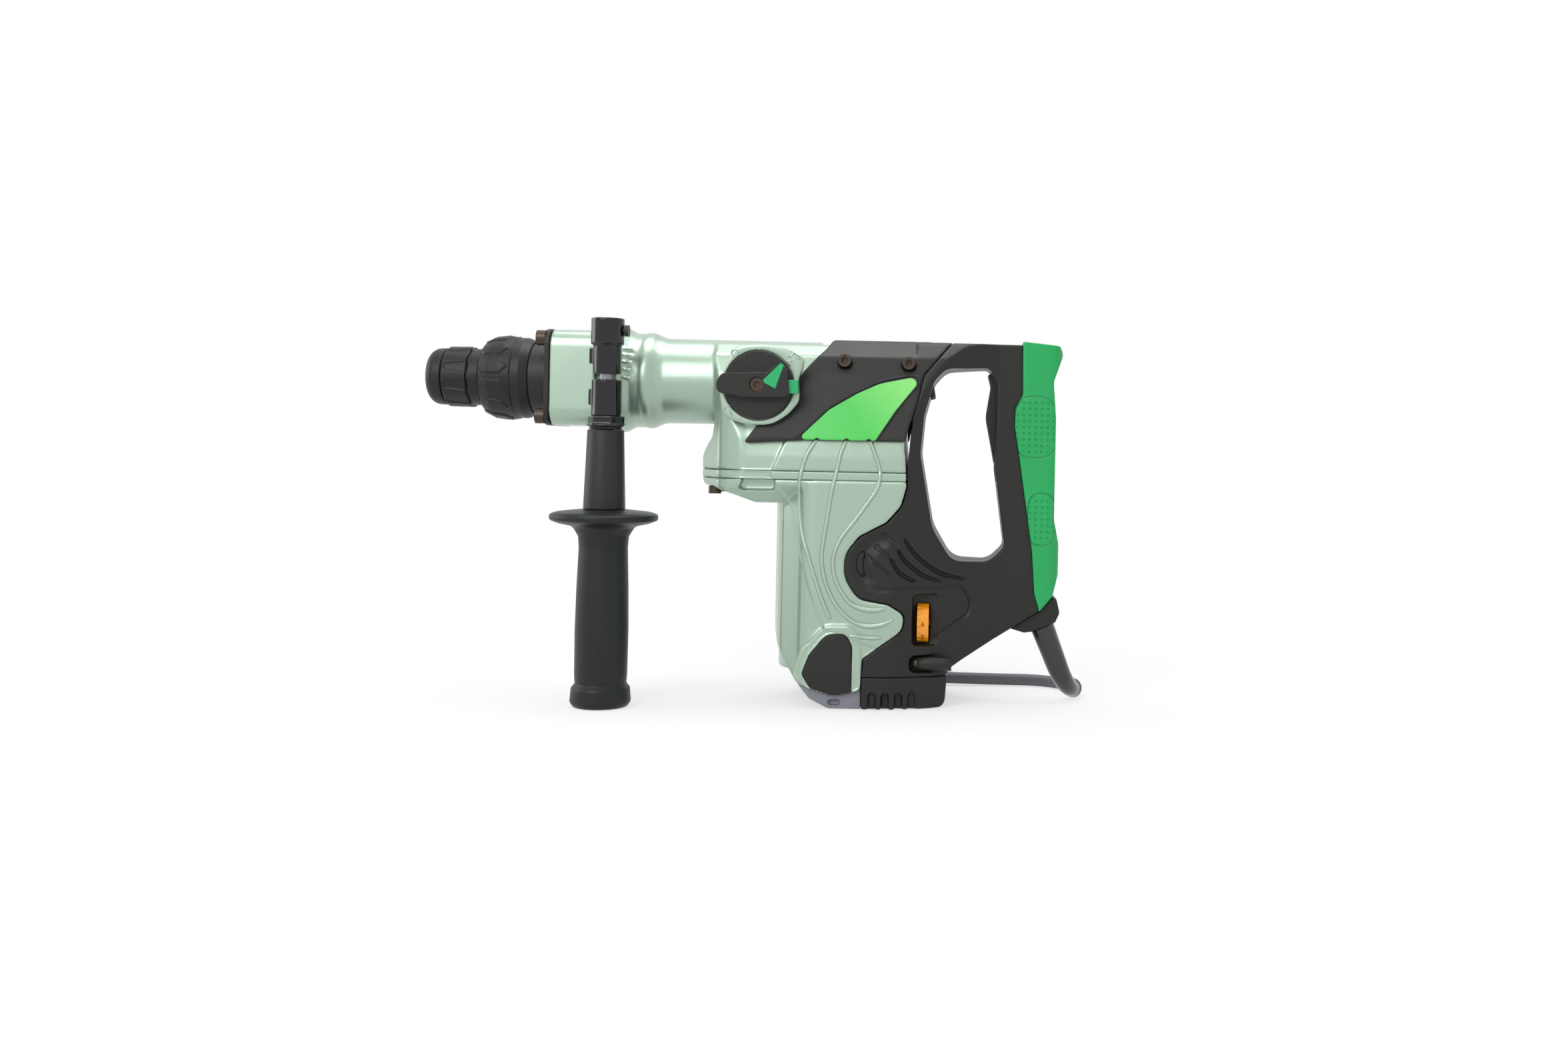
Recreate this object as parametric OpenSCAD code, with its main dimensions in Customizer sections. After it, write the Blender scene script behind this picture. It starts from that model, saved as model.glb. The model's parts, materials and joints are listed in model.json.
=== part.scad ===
// Rotary hammer with side handle, SDS-max class.
// The origin is the centre of the tool socket's mouth. The spindle axis is X, with the handle
// towards +X and the floor at z = -axis_height. The side handle is on the -Y side.

/* [Chuck] */
// Radius of the tool socket
socket_r = 9.05; // [8.6:0.05:9.3]
// Depth of the tool socket
socket_depth = 62; // [60:0.5:63]
// Length of the rubber nose cap
nose_len = 11.6; // [9:0.1:14]
// Radius of the nose cap
nose_r = 18.7; // [17.5:0.1:20]
// Length of the ribbed front ring
ring_len = 17; // [14:0.5:20]
// Radius of the ribbed front ring
ring_r = 20.2; // [19.5:0.1:21.5]
// Length of the plain groove between ring and sleeve
groove_len = 7; // [5:0.5:9]
// Length of the locking sleeve
sleeve_len = 34; // [31:0.5:37]
// Radius of the locking sleeve
sleeve_r = 27.8; // [26.6:0.1:29]
// Travel of the locking sleeve
sleeve_travel = 8; // [6:0.5:9]
// Radius of the fixed neck behind the sleeve
neck_r = 23.6; // [22.8:0.1:24.2]

/* [Front] */
// Thickness of the front plate
plate_t = 3.3; // [2.5:0.1:5]
// Side of the square front block
block_w = 62; // [60:0.5:66]
// Length of the front block
block_len = 29.4; // [28:0.2:34]
// Width of the round seat of the clamp band
seat_w = 12; // [11:0.5:16]
// Radius of that seat
seat_r = 27; // [26:0.5:28]
// Radius of the flange behind the clamp
flange_r = 34.5; // [33:0.5:37]
// Radius of the barrel
barrel_r = 28; // [27:0.25:29]
// Distance from the flange to the crank axis
barrel_len = 115.4; // [113:0.2:120]

/* [Impact mechanism] */
// Radius of the cylinder's bore
bore_r = 14; // [13:0.25:14.5]
// Wall of the cylinder
cylinder_wall = 3.5; // [3:0.25:3.5]
// Crank radius, half of the piston's stroke
crank_e = 14; // [12:0.25:14.5]
// Length of the connecting rod between its eyes
rod_len = 44.5; // [43.5:0.25:46]
// Length of the piston
piston_len = 26; // [24:0.5:27]
// Module of the gear teeth
gear_module = 1.5; // [1.4:0.05:1.5]
// Teeth of the motor pinion
motor_teeth = 8; // [8:1:9]
// Teeth of the crank gear
crank_teeth = 36; // [34:1:37]
// Teeth of the countershaft gear
counter_teeth = 18; // [17:1:19]

/* [Motor] */
// Radius of the motor can
can_r = 44.5; // [44:0.5:47]
// Wall of the motor can
can_wall = 5.4; // [5:0.1:6]
// Height of the fan above the laminated stack
fan_gap = 8; // [6:0.5:12]
// Radius of the armature core, as a share of the stator's radius
core_share = 0.61; // [0.57:0.01:0.62]
// Gap between armature and stator
air_gap = 0.7; // [0.5:0.1:1]

/* [Body] */
// Height of the spindle axis above the floor
axis_height = 207; // [204:0.5:211]
// How far the crank case stands back from the flanks of the motor can
case_back = 0.9; // [0.7:0.1:2]
// Thickness of the black covers
cover_t = 3.2; // [2.6:0.1:3.6]
// Thickness of the badge plates
badge_t = 1; // [0.6:0.1:1.6]
// Thickness of the intermediate plate
mid_plate_t = 5; // [4:0.25:6]
// Gap between neighbouring parts that are fixed
seam = 0.1; // [0.05:0.05:0.2]

/* [Mode lever] */
// Radius of the mode knob
knob_r = 21.5; // [20:0.5:22.5]
// Height of the finger bar over the knob
bar_h = 6.5; // [5:0.5:8]

/* [Handle] */
// Half width of the grip
grip_half = 16.5; // [15:0.5:18]
// Thickness of the grip cover
grip_t = 3; // [2.4:0.2:3.6]
// Half width of the trigger
trigger_half = 7.5; // [6:0.5:8]
// Radius of the speed dial
dial_r = 13; // [12:0.5:14]
// Width of the speed dial
dial_w = 7.4; // [6:0.2:8]

/* [Side handle] */
// Distance of the handle's axis from the spindle axis
handle_y = 48; // [47:0.5:52]
// Length of the stem above the guard disc
stem_len = 50; // [44:1:56]
// Radius of the guard disc
guard_r = 33.5; // [30:0.5:36]
// Largest radius of the side grip
side_grip_r = 16.5; // [15:0.5:18]

/* [Cord] */
// Diameter of the cord
cord_d = 8; // [7.8:0.1:8]

/* [Hidden] */
$fn = 48;

run = 0.05;             // radial clearance of a running fit
floor_z = -axis_height;
front_x = 0;
ring_x = nose_len;
groove_x = ring_x + ring_len;
sleeve_x = groove_x + groove_len + 0.3;
sleeve_end = sleeve_x + sleeve_len;
neck_len = 4.8;                          // the neck that shows behind the drawn back sleeve
bearing_w = 11;                          // width of the front bearing
plate_x = sleeve_end + sleeve_travel + neck_len;
block_x = plate_x + plate_t;
bearing_x = block_x + 0.4;
seat_x = block_x + block_len;
flange_x = seat_x + seat_w;
crank_x = flange_x + barrel_len;
cylinder_r = bore_r + cylinder_wall;
plate_screw_at = block_w / 2 - 5.8;
case_half = can_r - case_back;
holder_r = 15.8;
holder_end = seat_x + 1;

pitch = PI * gear_module;
motor_r = gear_module * motor_teeth / 2;
crank_r = gear_module * crank_teeth / 2;
counter_r = gear_module * counter_teeth / 2;
motor_x = crank_x + crank_r + motor_r;
counter_x = crank_x - crank_r - counter_r;
plate_back = motor_x - crank_x + can_r - 3.6;  // rear of the intermediate plate, from the crank axis
counter_pinion_teeth = 10;
counter_pinion_r = gear_module * counter_pinion_teeth / 2;
crown_teeth = 27;
crown_x = counter_x - counter_pinion_r;  // the pitch plane of the crown gear

gear_top = -42;                          // height of the upper faces of the flat gears
gear_w = 9;
web_top = -28;                           // the web in the crank case that carries the bearings
web_bottom = -38;
mid_top = -57.3;
mid_bottom = mid_top - mid_plate_t;
brush_z = floor_z + 37;
stack_bottom = brush_z + 20;
fan_z = -90;                             // underside of the fan
stack_top = fan_z - fan_gap;
stator_r = can_r - can_wall - seam;
core_r = core_share * stator_r;
coil_t = 0.57 * (stator_r - core_r);
dial_x = 82.6;                           // the dial's front face, from the crank axis
dial_y = -26;
dial_z = low(-153);
trigger_pin = [crank_x + 133, 4.5];
cover_x = crank_x + 20;                  // where the upper cover starts on the top line
base_top = low(-186.5);               // parting of tail cover and handle halves
lever = [crank_x - 20, -3.4];
cover_screw_at = [[33, 14], [74, 13]];   // screws of the upper cover, from the crank axis
knob_y = case_half + 0.5;                // outer face of the knob's seat

// outlines
function unit(v) = v / norm(v);
// points of the corner p between a and b, rounded with radius r
function corner(a, p, b, r, n) =
    let (q = [p.x, p.y], u = unit([a.x, a.y] - q), v = unit([b.x, b.y] - q), half = acos(u * v) / 2)
    r == 0 || half > 89 ? [q] :
    let (c = q + unit(u + v) * r / sin(half), s = q + u * r / tan(half) - c,
         e = q + v * r / tan(half) - c, turn = 180 - 2 * half)
    [for (i = [0:n]) c + (s * sin(turn * (1 - i / n)) + e * sin(turn * i / n)) / sin(turn)];
// a closed outline of [x, y, radius] points
function rounded(pts, n = 4) = let (m = len(pts))
    [for (i = [0:m - 1]) each corner(pts[(i + m - 1) % m], pts[i], pts[(i + 1) % m], pts[i][2], n)];
// heights below the intermediate plate, drawn for an axis 207 mm above the floor, follow axis_height
function low(z) = z > mid_bottom ? z : mid_bottom + (z - mid_bottom) *
    (floor_z - mid_bottom) / (-207 - mid_bottom);
// a list of [dx, z, radius] points moved along x
function at_x(x, pts) = [for (p = pts) [x + p[0], low(p[1]), p[2]]];

// shapes
// a solid turned round the spindle axis from [x, r] points
module turned(profile) rotate([90, 0, 90]) rotate_extrude() polygon([for (p = profile) [p[1], p[0]]]);
module rod_x(x0, x1, r) translate([x0, 0, 0]) rotate([0, 90, 0]) cylinder(h = x1 - x0, r = r);
module tube_x(x0, x1, inner, outer) difference() {
    rod_x(x0, x1, outer);
    rod_x(x0 - 1, x1 + 1, inner);
}
module rod_z(z0, z1, r) translate([0, 0, z0]) cylinder(h = z1 - z0, r = r);
module tube_z(z0, z1, inner, outer) difference() {
    rod_z(z0, z1, outer);
    rod_z(z0 - 1, z1 + 1, inner);
}
module rod_y(y0, y1, r) translate([0, y1, 0]) rotate([90, 0, 0]) cylinder(h = y1 - y0, r = r);
// prisms of an outline seen from the side, from the front and from above
module side_slab(outline, y0, y1) translate([0, y1, 0]) rotate([90, 0, 0]) linear_extrude(y1 - y0)
    polygon(outline);
module front_slab(outline, x0, x1) translate([x0, 0, 0]) rotate([90, 0, 90]) linear_extrude(x1 - x0)
    polygon(outline);
module plan_slab(outline, z0, z1) translate([0, 0, z0]) linear_extrude(z1 - z0) polygon(outline);
module both_sides() {
    children();
    mirror([0, 1, 0]) children();
}
module box(x, y, z) translate([x[0], y[0], z[0]]) cube([x[1] - x[0], y[1] - y[0], z[1] - z[0]]);
module four_corners(d) for (sy = [-1, 1], sz = [-1, 1]) translate([0, sy * d, sz * d]) children();
module square_x(w, r, x0, x1) front_slab(rounded([[-w, -w, r], [w, -w, r], [w, w, r], [-w, w, r]]), x0, x1);
// a cap screw with its head's seat at the origin and its thread along +Z
module cap_screw(d, len) {
    difference() {
        rod_z(-d, 0, d * 0.82);
        rotate(30) translate([0, 0, -d - 1]) cylinder(h = d * 0.6 + 1, r = d * 0.48, $fn = 6);
    }
    rod_z(-0.01, len, d / 2);
}

// gears
// outline of a spur gear with straight flanks and a little backlash
function gear_outline(teeth) = let (r = gear_module * teeth / 2, a = 360 / teeth,
    tip = gear_module * 0.85, root = gear_module * 1.2)
    [for (i = [0:teeth - 1]) each [for (k = [[-0.31, -root], [-0.115, tip], [0.115, tip], [0.31, -root]])
        (r + k[1]) * [cos(a * (i + k[0])), sin(a * (i + k[0]))]]];

// chuck
module nose_cap() color("#2b2c2e") turned(rounded([[front_x, socket_r + 1.45, 0], [front_x, nose_r, 7.9],
    [nose_len, nose_r, 0], [nose_len, holder_r - 2 + seam, 0], [2.4, holder_r - 2 + seam, 0],
    [2.4, socket_r + 1.45, 0]]));

module front_ring() color("#34363a") {
    pocket_r = ring_r - 0.8;
    difference() {
        turned([[ring_x, nose_r], [ring_x + 4, ring_r - 0.2], [groove_x, ring_r], [groove_x, nose_r - 0.1],
            [groove_x + groove_len, nose_r - 0.1], [groove_x + groove_len, holder_r + seam],
            [ring_x + ring_len, holder_r + seam], [ring_x + ring_len, holder_r - 2 + seam],
            [ring_x, holder_r - 2 + seam]]);
        for (i = [0:9]) rotate([i * 36, 0, 0]) intersection() {
            translate([0, 0, pocket_r]) linear_extrude(5)
                polygon(rounded([[ring_x + 2, -2.2, 2], [ring_x + 2, 2.2, 2], [groove_x + 1, 3.6, 0],
                    [groove_x + 1, -3.6, 0]]));
            tube_x(ring_x, groove_x + 1, pocket_r, ring_r + 2);
        }
    }
}

function sleeve_profile(t) = [[sleeve_x, ring_r - 0.2], [sleeve_x + 2, 23 + t], [sleeve_x +
    9, sleeve_r - 1.6 + t],
    [sleeve_x + sleeve_len / 2 + 1, sleeve_r - 0.5 + t], [sleeve_end - 5, sleeve_r - 1.2 + t],
    [sleeve_end, neck_r + 1]];
module locking_sleeve() color("#303236") {
    recess_x = plate_x - 16 - sleeve_travel - 1.2;
    turned(concat([[sleeve_x, holder_r + 0.3]], sleeve_profile(0), [[sleeve_end, neck_r + 0.5],
        [recess_x, neck_r + 0.5], [recess_x, 21], [recess_x - 9, 21], [recess_x - 9, holder_r + 0.3]]));
    for (i = [0:11]) rotate([i * 30 + 15, 0, 0]) intersection() {
        turned(concat([[sleeve_x + 3, sleeve_r - 4]],
            [for (p = sleeve_profile(0.5)) if (p[1] > 22.9 && p[0] < sleeve_end) p],
            [[sleeve_end - 5, sleeve_r - 4]]));
        translate([sleeve_x, 0, 0]) linear_extrude(sleeve_r + 2)
            polygon([[1, -1.5], [4, -4.2], [13, -4.2], [21.5, 1.5], [21.5, 3.5], [19, 5.2], [11, 5.2],
                [1, 0.5]]);
    }
}

module tool_holder() color("#8d9094") difference() {
    union() {
        rod_x(front_x, 2.4, socket_r + 1.35);
        rod_x(2.4, ring_x + ring_len, holder_r - 2);
        rod_x(ring_x + ring_len, holder_end, holder_r);
        rod_x(plate_x - 17.6, plate_x - 16.6, neck_r - 3);
    }
    rod_x(-1, socket_depth, socket_r);
    rod_x(socket_depth - 0.01, socket_depth + 10, socket_r + 0.8);
    rod_x(socket_depth + 9.9, holder_end + 1, 12.1);
    for (s = [-1, 1]) translate([0, 0, s * 12.6]) rod_x(39.8, 54.2, 3.3);
}

module lock_rollers() color("#b8babd") for (s = [-1, 1]) translate([0, 0, s * 12.6]) rod_x(40, 54, 3.05);

module sleeve_spring() color("#9a9da0") {
    back = plate_x - 17.8;
    tube_x(back - 16.2, back, 17.2, 19.8);
}

// front cover
module front_cover() color("#1d1e20") difference() {
    union() {
        square_x(block_w / 2 + 0.2, 9, plate_x, block_x);
        rod_x(plate_x - 16, plate_x + 0.01, neck_r);
    }
    rod_x(plate_x - 17, block_x + 1, neck_r - 2.6);
    four_corners(plate_screw_at) rod_x(plate_x - 1, block_x + 1, 3.1);
}

module cover_screws() color("#4a4038") four_corners(plate_screw_at)
    translate([plate_x, 0, 0]) rotate([0, 90, 0]) cap_screw(6, 20);

module oil_seal() color("#111111") tube_x(plate_x - 14, plate_x - 7, holder_r + run, neck_r - 2.6 - run);

module front_bearing() color("#b8babd") difference() {
    tube_x(bearing_x, bearing_x + bearing_w, holder_r + run, 25.9);
    for (e = [0, 1]) translate([bearing_x + e * bearing_w, 0, 0]) tube_x(-0.8, 0.8, 19, 23);
}

// gear housing
// front view of the crank case, from the top line down, grown by t
function case_section(t) = let (w = case_half + t, s = 25.4 + t)
    rounded([[-14, s, 8], [14, s, 8], [27 + t, 17, 6], [32.5 + t, 5, 0], [w - 1, -36, 6], [w, -48, 0],
        [w, mid_top - 60, 0], [-w, mid_top - 60, 0], [-w, -48, 0], [-w + 1, -36, 6], [-32.5 - t, 5, 0],
        [-27 - t, 17, 6]]);
case_front = crank_x - 60.5;
function case_outline() = rounded(at_x(crank_x, [[-52, 26, 0], [78.5, 26, 3], [79, 4, 8], [72, -30, 20],
    [73.9, mid_top, 0], [-60.5, mid_top, 0], [-60.8, -50, 6], [-57, -42, 3], [-52, -36, 6],
        [-50, -24, 0]]));
// the same case seen from above
function case_plan(w) = rounded([[case_front, -12, 12], [case_front + 14, -w + 8, 10], [case_front +
    30, -w, 14],
    [crank_x + 90, -w, 0], [crank_x + 90, w, 0], [case_front + 30, w, 14], [case_front + 14, w - 8, 10],
    [case_front, 12, 12]]);

module gear_housing() color("#a9bdab") difference() {
    union() {
        square_x(block_w / 2, 10, block_x, seat_x);
        rod_x(seat_x - 1, flange_x + 1, seat_r);
        turned([[flange_x, 0], [flange_x, flange_r], [flange_x + 2.5, flange_r], [flange_x + 9, 31],
            [flange_x + 16, 31], [flange_x + 17, 31.6], [flange_x + 20, 31.6], [flange_x + 22, 31],
            [flange_x + 26, 29], [flange_x + 30, barrel_r], [cover_x - 4, barrel_r - 0.4],
                [cover_x - 4, 0]]);
        intersection() {
            side_slab(case_outline(), -60, 60);
            front_slab(case_section(0), crank_x - 80, crank_x + 100);
            plan_slab(case_plan(case_half), -100, 60);
        }
        translate([lever.x, 0, lever.y]) rod_y(-knob_y + 0.5, 0, knob_r + 3);
        for (i = [0:4]) translate([flange_x + 4, 0, 0]) rotate([55 + i * 9, 0, 0])
            translate([0, 0, 31]) cube([7, 1.4, 2.4]);
    }
    rod_x(block_x - 1, bearing_x + bearing_w, 26);
    rod_x(bearing_x + bearing_w - 1, flange_x + 30, 23);
    rod_x(flange_x + 29, crank_x - 20, 24.4);
    four_corners(plate_screw_at) rod_x(block_x - 1, block_x + 18, 3.1);
    // room for the crank above the web and for the gears below it
    intersection() {
        side_slab(rounded(at_x(crank_x, [[-57, web_bottom, 0], [66, web_bottom, 0], [68, mid_top - 1, 0],
            [-57.5, mid_top - 1, 0]])), -case_half + 5, case_half - 5);
        plan_slab(case_plan(case_half - 5), -100, 0);
    }
    intersection() {
        box([crank_x - 20.5, crank_x + 66], [-28, 28], [web_top, 21]);
        front_slab(rounded([[-26, 8, 0], [-12, 21, 0], [12, 21, 0], [26, 8, 0], [28, web_top, 0],
            [-28, web_top, 0]]),
            crank_x - 30, crank_x + 80);
    }
    translate([counter_x, 0, 0]) rod_z(web_bottom - 1, -16, 13.1);
    translate([crank_x, 0, 0]) rod_z(web_bottom - 1, web_top + 1, 17.1);
    translate([lever.x, 0, lever.y]) rod_y(-knob_y - 1, -20, 5 + run);
    both_sides() at_cover_screws() rod_y(-45, -25, 2.6);
}

// clamp and side handle
handle_x = seat_x + seat_w / 2 + 6;
boss_r = 9.4;
band_r = seat_r + 5;
grip_top = -96;
stem_top = -33.5;
guard_z = stem_top - stem_len;

module clamp_band() color("#2c2c2e") difference() {
    union() {
        tube_x(seat_x + 0.4, flange_x - 0.4, seat_r + 2 * run, band_r);
        translate([handle_x, -handle_y, 0]) {
            rod_z(1.4, 20, boss_r - 0.6);
            rod_z(20, 36.6, boss_r + 1);
            rod_z(-25, -2, boss_r);
        }
        box([seat_x + 0.4, flange_x - 0.4], [-handle_y, -18], [8, 18]);
        box([seat_x + 0.4, flange_x - 0.4], [-handle_y, -18], [-18, -8]);
    }
    rod_x(seat_x - 1, flange_x + 1, seat_r + 2 * run);
    box([seat_x - 1, flange_x + 1], [-handle_y - 20, -seat_r + 4], [-2, 1.4]);
    translate([handle_x, -handle_y, 0]) rod_z(-30, 32, 4.6);
    translate([handle_x, -handle_y, 29]) rotate([0, 90, 0]) rod_z(3, 14, 2.6);
}

module clamp_bolt() color("#77797c") translate([handle_x, -handle_y, 0]) rod_z(-62, 31, 4.5);

module clamp_nut() color("#3a3a3c") translate([handle_x, -handle_y, 0]) difference() {
    union() {
        translate([0, 0, -30]) cylinder(h = 5, r = 11.6, $fn = 6);
        rod_z(-31.5, -29.9, 12);
        rod_z(stem_top + 0.1, -31.5, 10.4);
    }
    rod_z(-40, 0, 4.6);
}

module stop_screw() color("#222224") translate([handle_x, -handle_y, 29]) rotate([0, 90, 0]) {
    rod_z(4.8, boss_r + 1.4, 2.5);
    rod_z(boss_r + 1.4, boss_r + 4, 3.6);
}

module side_handle_core() color("#232325") translate([handle_x, -handle_y, 0]) difference() {
    union() {
        translate([0, 0, guard_z]) cylinder(h = stem_top - guard_z, r1 = 13, r2 = 11.3);
        rod_z(floor_z + 14, guard_z + 0.01, 9);
    }
    rod_z(-62.5, 0, 4.6);
}

module side_grip() color("#2f3032") translate([handle_x, -handle_y, 0]) difference() {
    rotate_extrude() polygon([[9 + seam, guard_z], [17, guard_z], [guard_r - 2, guard_z - 2.5],
        [guard_r, guard_z - 4],
        [guard_r, guard_z - 6.5], [guard_r - 2, guard_z - 8.4], [20, guard_z - 11], [16, guard_z - 16],
            [15, guard_z - 22],
        [side_grip_r - 0.6, guard_z - 50], [side_grip_r, guard_z - 75], [side_grip_r - 0.6, floor_z + 17],
        [side_grip_r - 0.6, floor_z + 15], [side_grip_r + 2, floor_z + 11.5], [side_grip_r +
            2.4, floor_z + 2.5],
        [side_grip_r, floor_z], [0, floor_z], [0, floor_z + 13.9], [9 + seam, floor_z + 13.9]]);
}

// mode knob
bar_len = 26;
module at_lever() translate([lever.x, 0, lever.y]) children();
module mode_knob() color("#2a2b2c") at_lever() difference() {
    union() {
        rod_y(-knob_y - 6.5, -knob_y, knob_r);
        intersection() {
            side_slab(rounded([[-bar_len, 0.5, 6], [-bar_len + 4, 6.8, 4], [6, 7.6, 0], [14, 14, 0],
                [knob_r - 3, 11, 4],
                [knob_r - 1, -7.5, 3], [-8, -8, 6], [-bar_len + 2, -5.5, 4]]), -knob_y - 6.5 - bar_h,
                    -knob_y - 6.4);
            rod_y(-knob_y - 20, 0, bar_len + 0.4);
        }
        rod_y(-knob_y - 0.1, -knob_y + 16, 5);
    }
    rod_y(-knob_y - 20, -knob_y + 17, 2.6);
    rod_y(-knob_y - 20, -knob_y - 6.5 - bar_h + 4.5, 4.6);
    box([knob_r - 6, knob_r + 6], [-knob_y - 10.7, -knob_y - 6.4], [-5.2, 3.7]);
    translate([0, -knob_y - 6.5 - bar_h + 0.8, 0]) pointer_prism(seam, 3);
}
module pointer_prism(t, deep) side_slab([[3 - t, 2 - t], [14.5, 13.6 + t], [16.8 + t, 12.5 + t], [11.6 +
    t, -2.4 - t]], -deep, 0);

module mode_pointer() color("#29b566") at_lever() translate([0, -knob_y - 6.5 - bar_h + 0.8, 0])
    difference() {
    pointer_prism(0, 0.7);
    rod_y(-5, 5, 4.7);
}

module knob_screw() color("#4a4038") at_lever() difference() {
    union() {
        rod_y(-knob_y - 6.5 - bar_h + 1.5, -knob_y - 6.5 - bar_h + 4.5, 4.5);
        rod_y(-knob_y - 6.5 - bar_h + 4.4, -knob_y + 15.9, 2.5);
    }
    translate([0, -knob_y - 6.5 - bar_h + 3.4, 0]) rotate([90, 0, 0]) cylinder(h = 9, r = 2.3, $fn = 6);
}

module lock_button() color("#22a85a") at_lever()
    box([knob_r - 3.2, knob_r + 4.2], [-knob_y - 10.5, -knob_y - 6.6], [-5, 3.5]);

// intermediate plate and motor housing
module intermediate_plate() color("#9db2a2") difference() {
    intersection() {
        box([case_front, crank_x + plate_back], [-60, 60], [mid_bottom, mid_top]);
        plan_slab(case_plan(case_half + 0.6), -100, 0);
    }
    translate([motor_x, 0, 0]) rod_z(-100, 0, 9);
    translate([crank_x, 0, 0]) rod_z(mid_top - 2.5, 0, 13.1);
    translate([counter_x, 0, 0]) rod_z(mid_top - 2.5, 0, 10.1);
    for (s = [-1, 1]) translate([case_front + 10, s * 20, 0]) rod_z(-100, 0, 2.6);
}

module at_cover_screws() for (p = cover_screw_at) translate([crank_x + p[0], 0, p[1]]) children();
module body_screws() color("#4a4038") {
    for (s = [-1, 1]) translate([case_front + 10, s * 20, -68 - mid_plate_t + 5]) cap_screw(5, 24);
    both_sides() at_cover_screws() translate([0, -31.5, 0]) rotate([-90, 0, 0]) cap_screw(5, 6);
}

// right-hand edge of the silver housing, an S seen from the side
function s_edge(d) = at_x(crank_x + d, [[74, mid_bottom, 0], [74.2, -66, 0], [71, -78, 12], [62, -88.5, 8],
    [45, -97.5, 10], [36, -109, 16], [36, -124, 16], [45, -137.5, 12], [64, -140.5, 6], [74.6, -147, 6],
    [73, -157, 10], [52, -172.5, 0], [48.4, -175, 0], [47.8, -194, 0]]);
function motor_outline() = rounded(concat(s_edge(0), at_x(crank_x, [[38, -198, 10], [26, -198, 10],
    [6.5, -191.5, 4], [-4, -177, 10], [-11.5, -163, 30], [-12.3, -95, 12], [-18, -80, 8],
    [-36, -73, 10], [-50, -68, 2], [-58, -67.5, 4], [-60.5, mid_bottom, 0]])));
// the motor can seen from above
function can_plan(w) = rounded([[motor_x - w, -6, 0], [motor_x - w + 4, -24, 20], [motor_x - 22, -w, 14],
    [motor_x + 60, -w, 0], [motor_x + 60, w, 0], [motor_x - 22, w, 14], [motor_x - w + 4, 24, 20],
        [motor_x - w, 6, 0]]);

module motor_housing() color("#a9bdab") difference() {
    union() {
        intersection() {
            side_slab(motor_outline(), -60, 60);
            union() {
                plan_slab(can_plan(can_r), floor_z, mid_bottom);
                intersection() {
                    plan_slab(case_plan(case_half), -78, mid_bottom);
                    front_slab(rounded([[-case_half, mid_bottom, 0], [-case_half, -66, 0], [-26, -80, 6],
                        [26, -80, 6],
                        [case_half, -66, 0], [case_half, mid_bottom, 0]]), crank_x - 80, crank_x + 100);
                }
            }
        }
        // the can goes on behind the handle halves
        translate([motor_x, 0, 0]) rod_z(base_top + 1.5, mid_bottom, can_r - 2.5);
        both_sides() brush_frame();
    }
    translate([motor_x, 0, 0]) {
        rod_z(stack_bottom - 0.2, fan_z + 12, can_r - can_wall);
        rod_z(floor_z + 24, stack_bottom + 1, can_r - can_wall - 3);
        rod_z(fan_z + 11, 0, 9);
        rod_z(-75, 0, 13.1);
        rod_z(floor_z - 1, floor_z + 40, 11.1);
    }
    both_sides() {
        side_slab(rounded(at_x(crank_x, [[-33.5, -69.6, 2], [-9.5, -69.6, 2], [-9.5, mid_bottom + 1, 0],
            [-29, mid_bottom + 1, 0]])),
            -60, -case_half + 7);
        translate([crank_x + 33, 0, brush_z]) rod_y(-can_r - 8, -stator_r + 6, 9);
        brush_window();
    }
    for (s = [-1, 1]) translate([case_front + 10, s * 20, -100]) {
        rod_z(0, 60, 2.6);
        rod_z(0, 32 - mid_plate_t + 5, 4.6);
    }
}
brush_x = crank_x + 28;
function arch(t) = rounded(at_x(brush_x, [[-17.5 - t, -185 - t * 0.4, 2], [-13 - t, -173 + t * 0.5, 8],
    [-2 - t * 0.4, -159.5 + t, 10], [10 + t, -159.5 + t, 6], [14 + t, -167, 3],
    [14 + t, -196, 0], [3, -198.5, 6], [-12 - t * 0.3, -194, 4]]));
module brush_frame() intersection() {
    side_slab(arch(5), -can_r - 1.5, -can_r + 6);
    side_slab(motor_outline(), -60, 0);
}
module brush_window() side_slab(arch(0.2), -60, -can_r + 2);

module brush_covers() color("#2a2b2c") both_sides() {
    intersection() {
        side_slab(arch(0), -can_r - 1, -can_r + 2);
        side_slab(motor_outline(), -60, 0);
    }
}

module vent_skirt() color("#8b8f99") difference() {
    intersection() {
        side_slab(rounded(at_x(crank_x, [[6.5, -191.6, 0], [26, -198.1, 10], [38, -198.1, 10],
            [47.8, -194.1, 0], [47.8, -207, 0], [27, -207, 5], [15, -201, 3]])), -60, 60);
        plan_slab(can_plan(can_r - 3), floor_z, -100);
    }
    for (i = [-2:2]) box([crank_x + 26, crank_x + 34], [i * 12 - 3, i * 12 + 3], [floor_z - 1, floor_z +
        3.5]);
    both_sides() {
        side_slab(rounded(at_x(crank_x, [[27, -205, 1.8], [35, -205, 1.8], [35, -201.4, 1.8],
            [27, -201.4, 1.8]])),
            -60, -can_r + 6);
    }
}

// upper cover and badges
function cover_outline() = rounded(at_x(crank_x, [[-29.5, -40, 1], [-18, -24, 0], [8, 8, 4], [20, 22, 3],
    [25, 30, 0],
    [102, 31, 0], [101, 27, 0], [84, 6, 6], [80, -12, 0], [74, -32, 0], [73, -37.4, 0], [10, -37.4, 0]]));
function cover_plan(w) = rounded([[crank_x - 60, -w, 0], [crank_x + 88, -w, 9], [crank_x + 88, w, 9],
    [crank_x - 60, w, 0]]);

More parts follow.
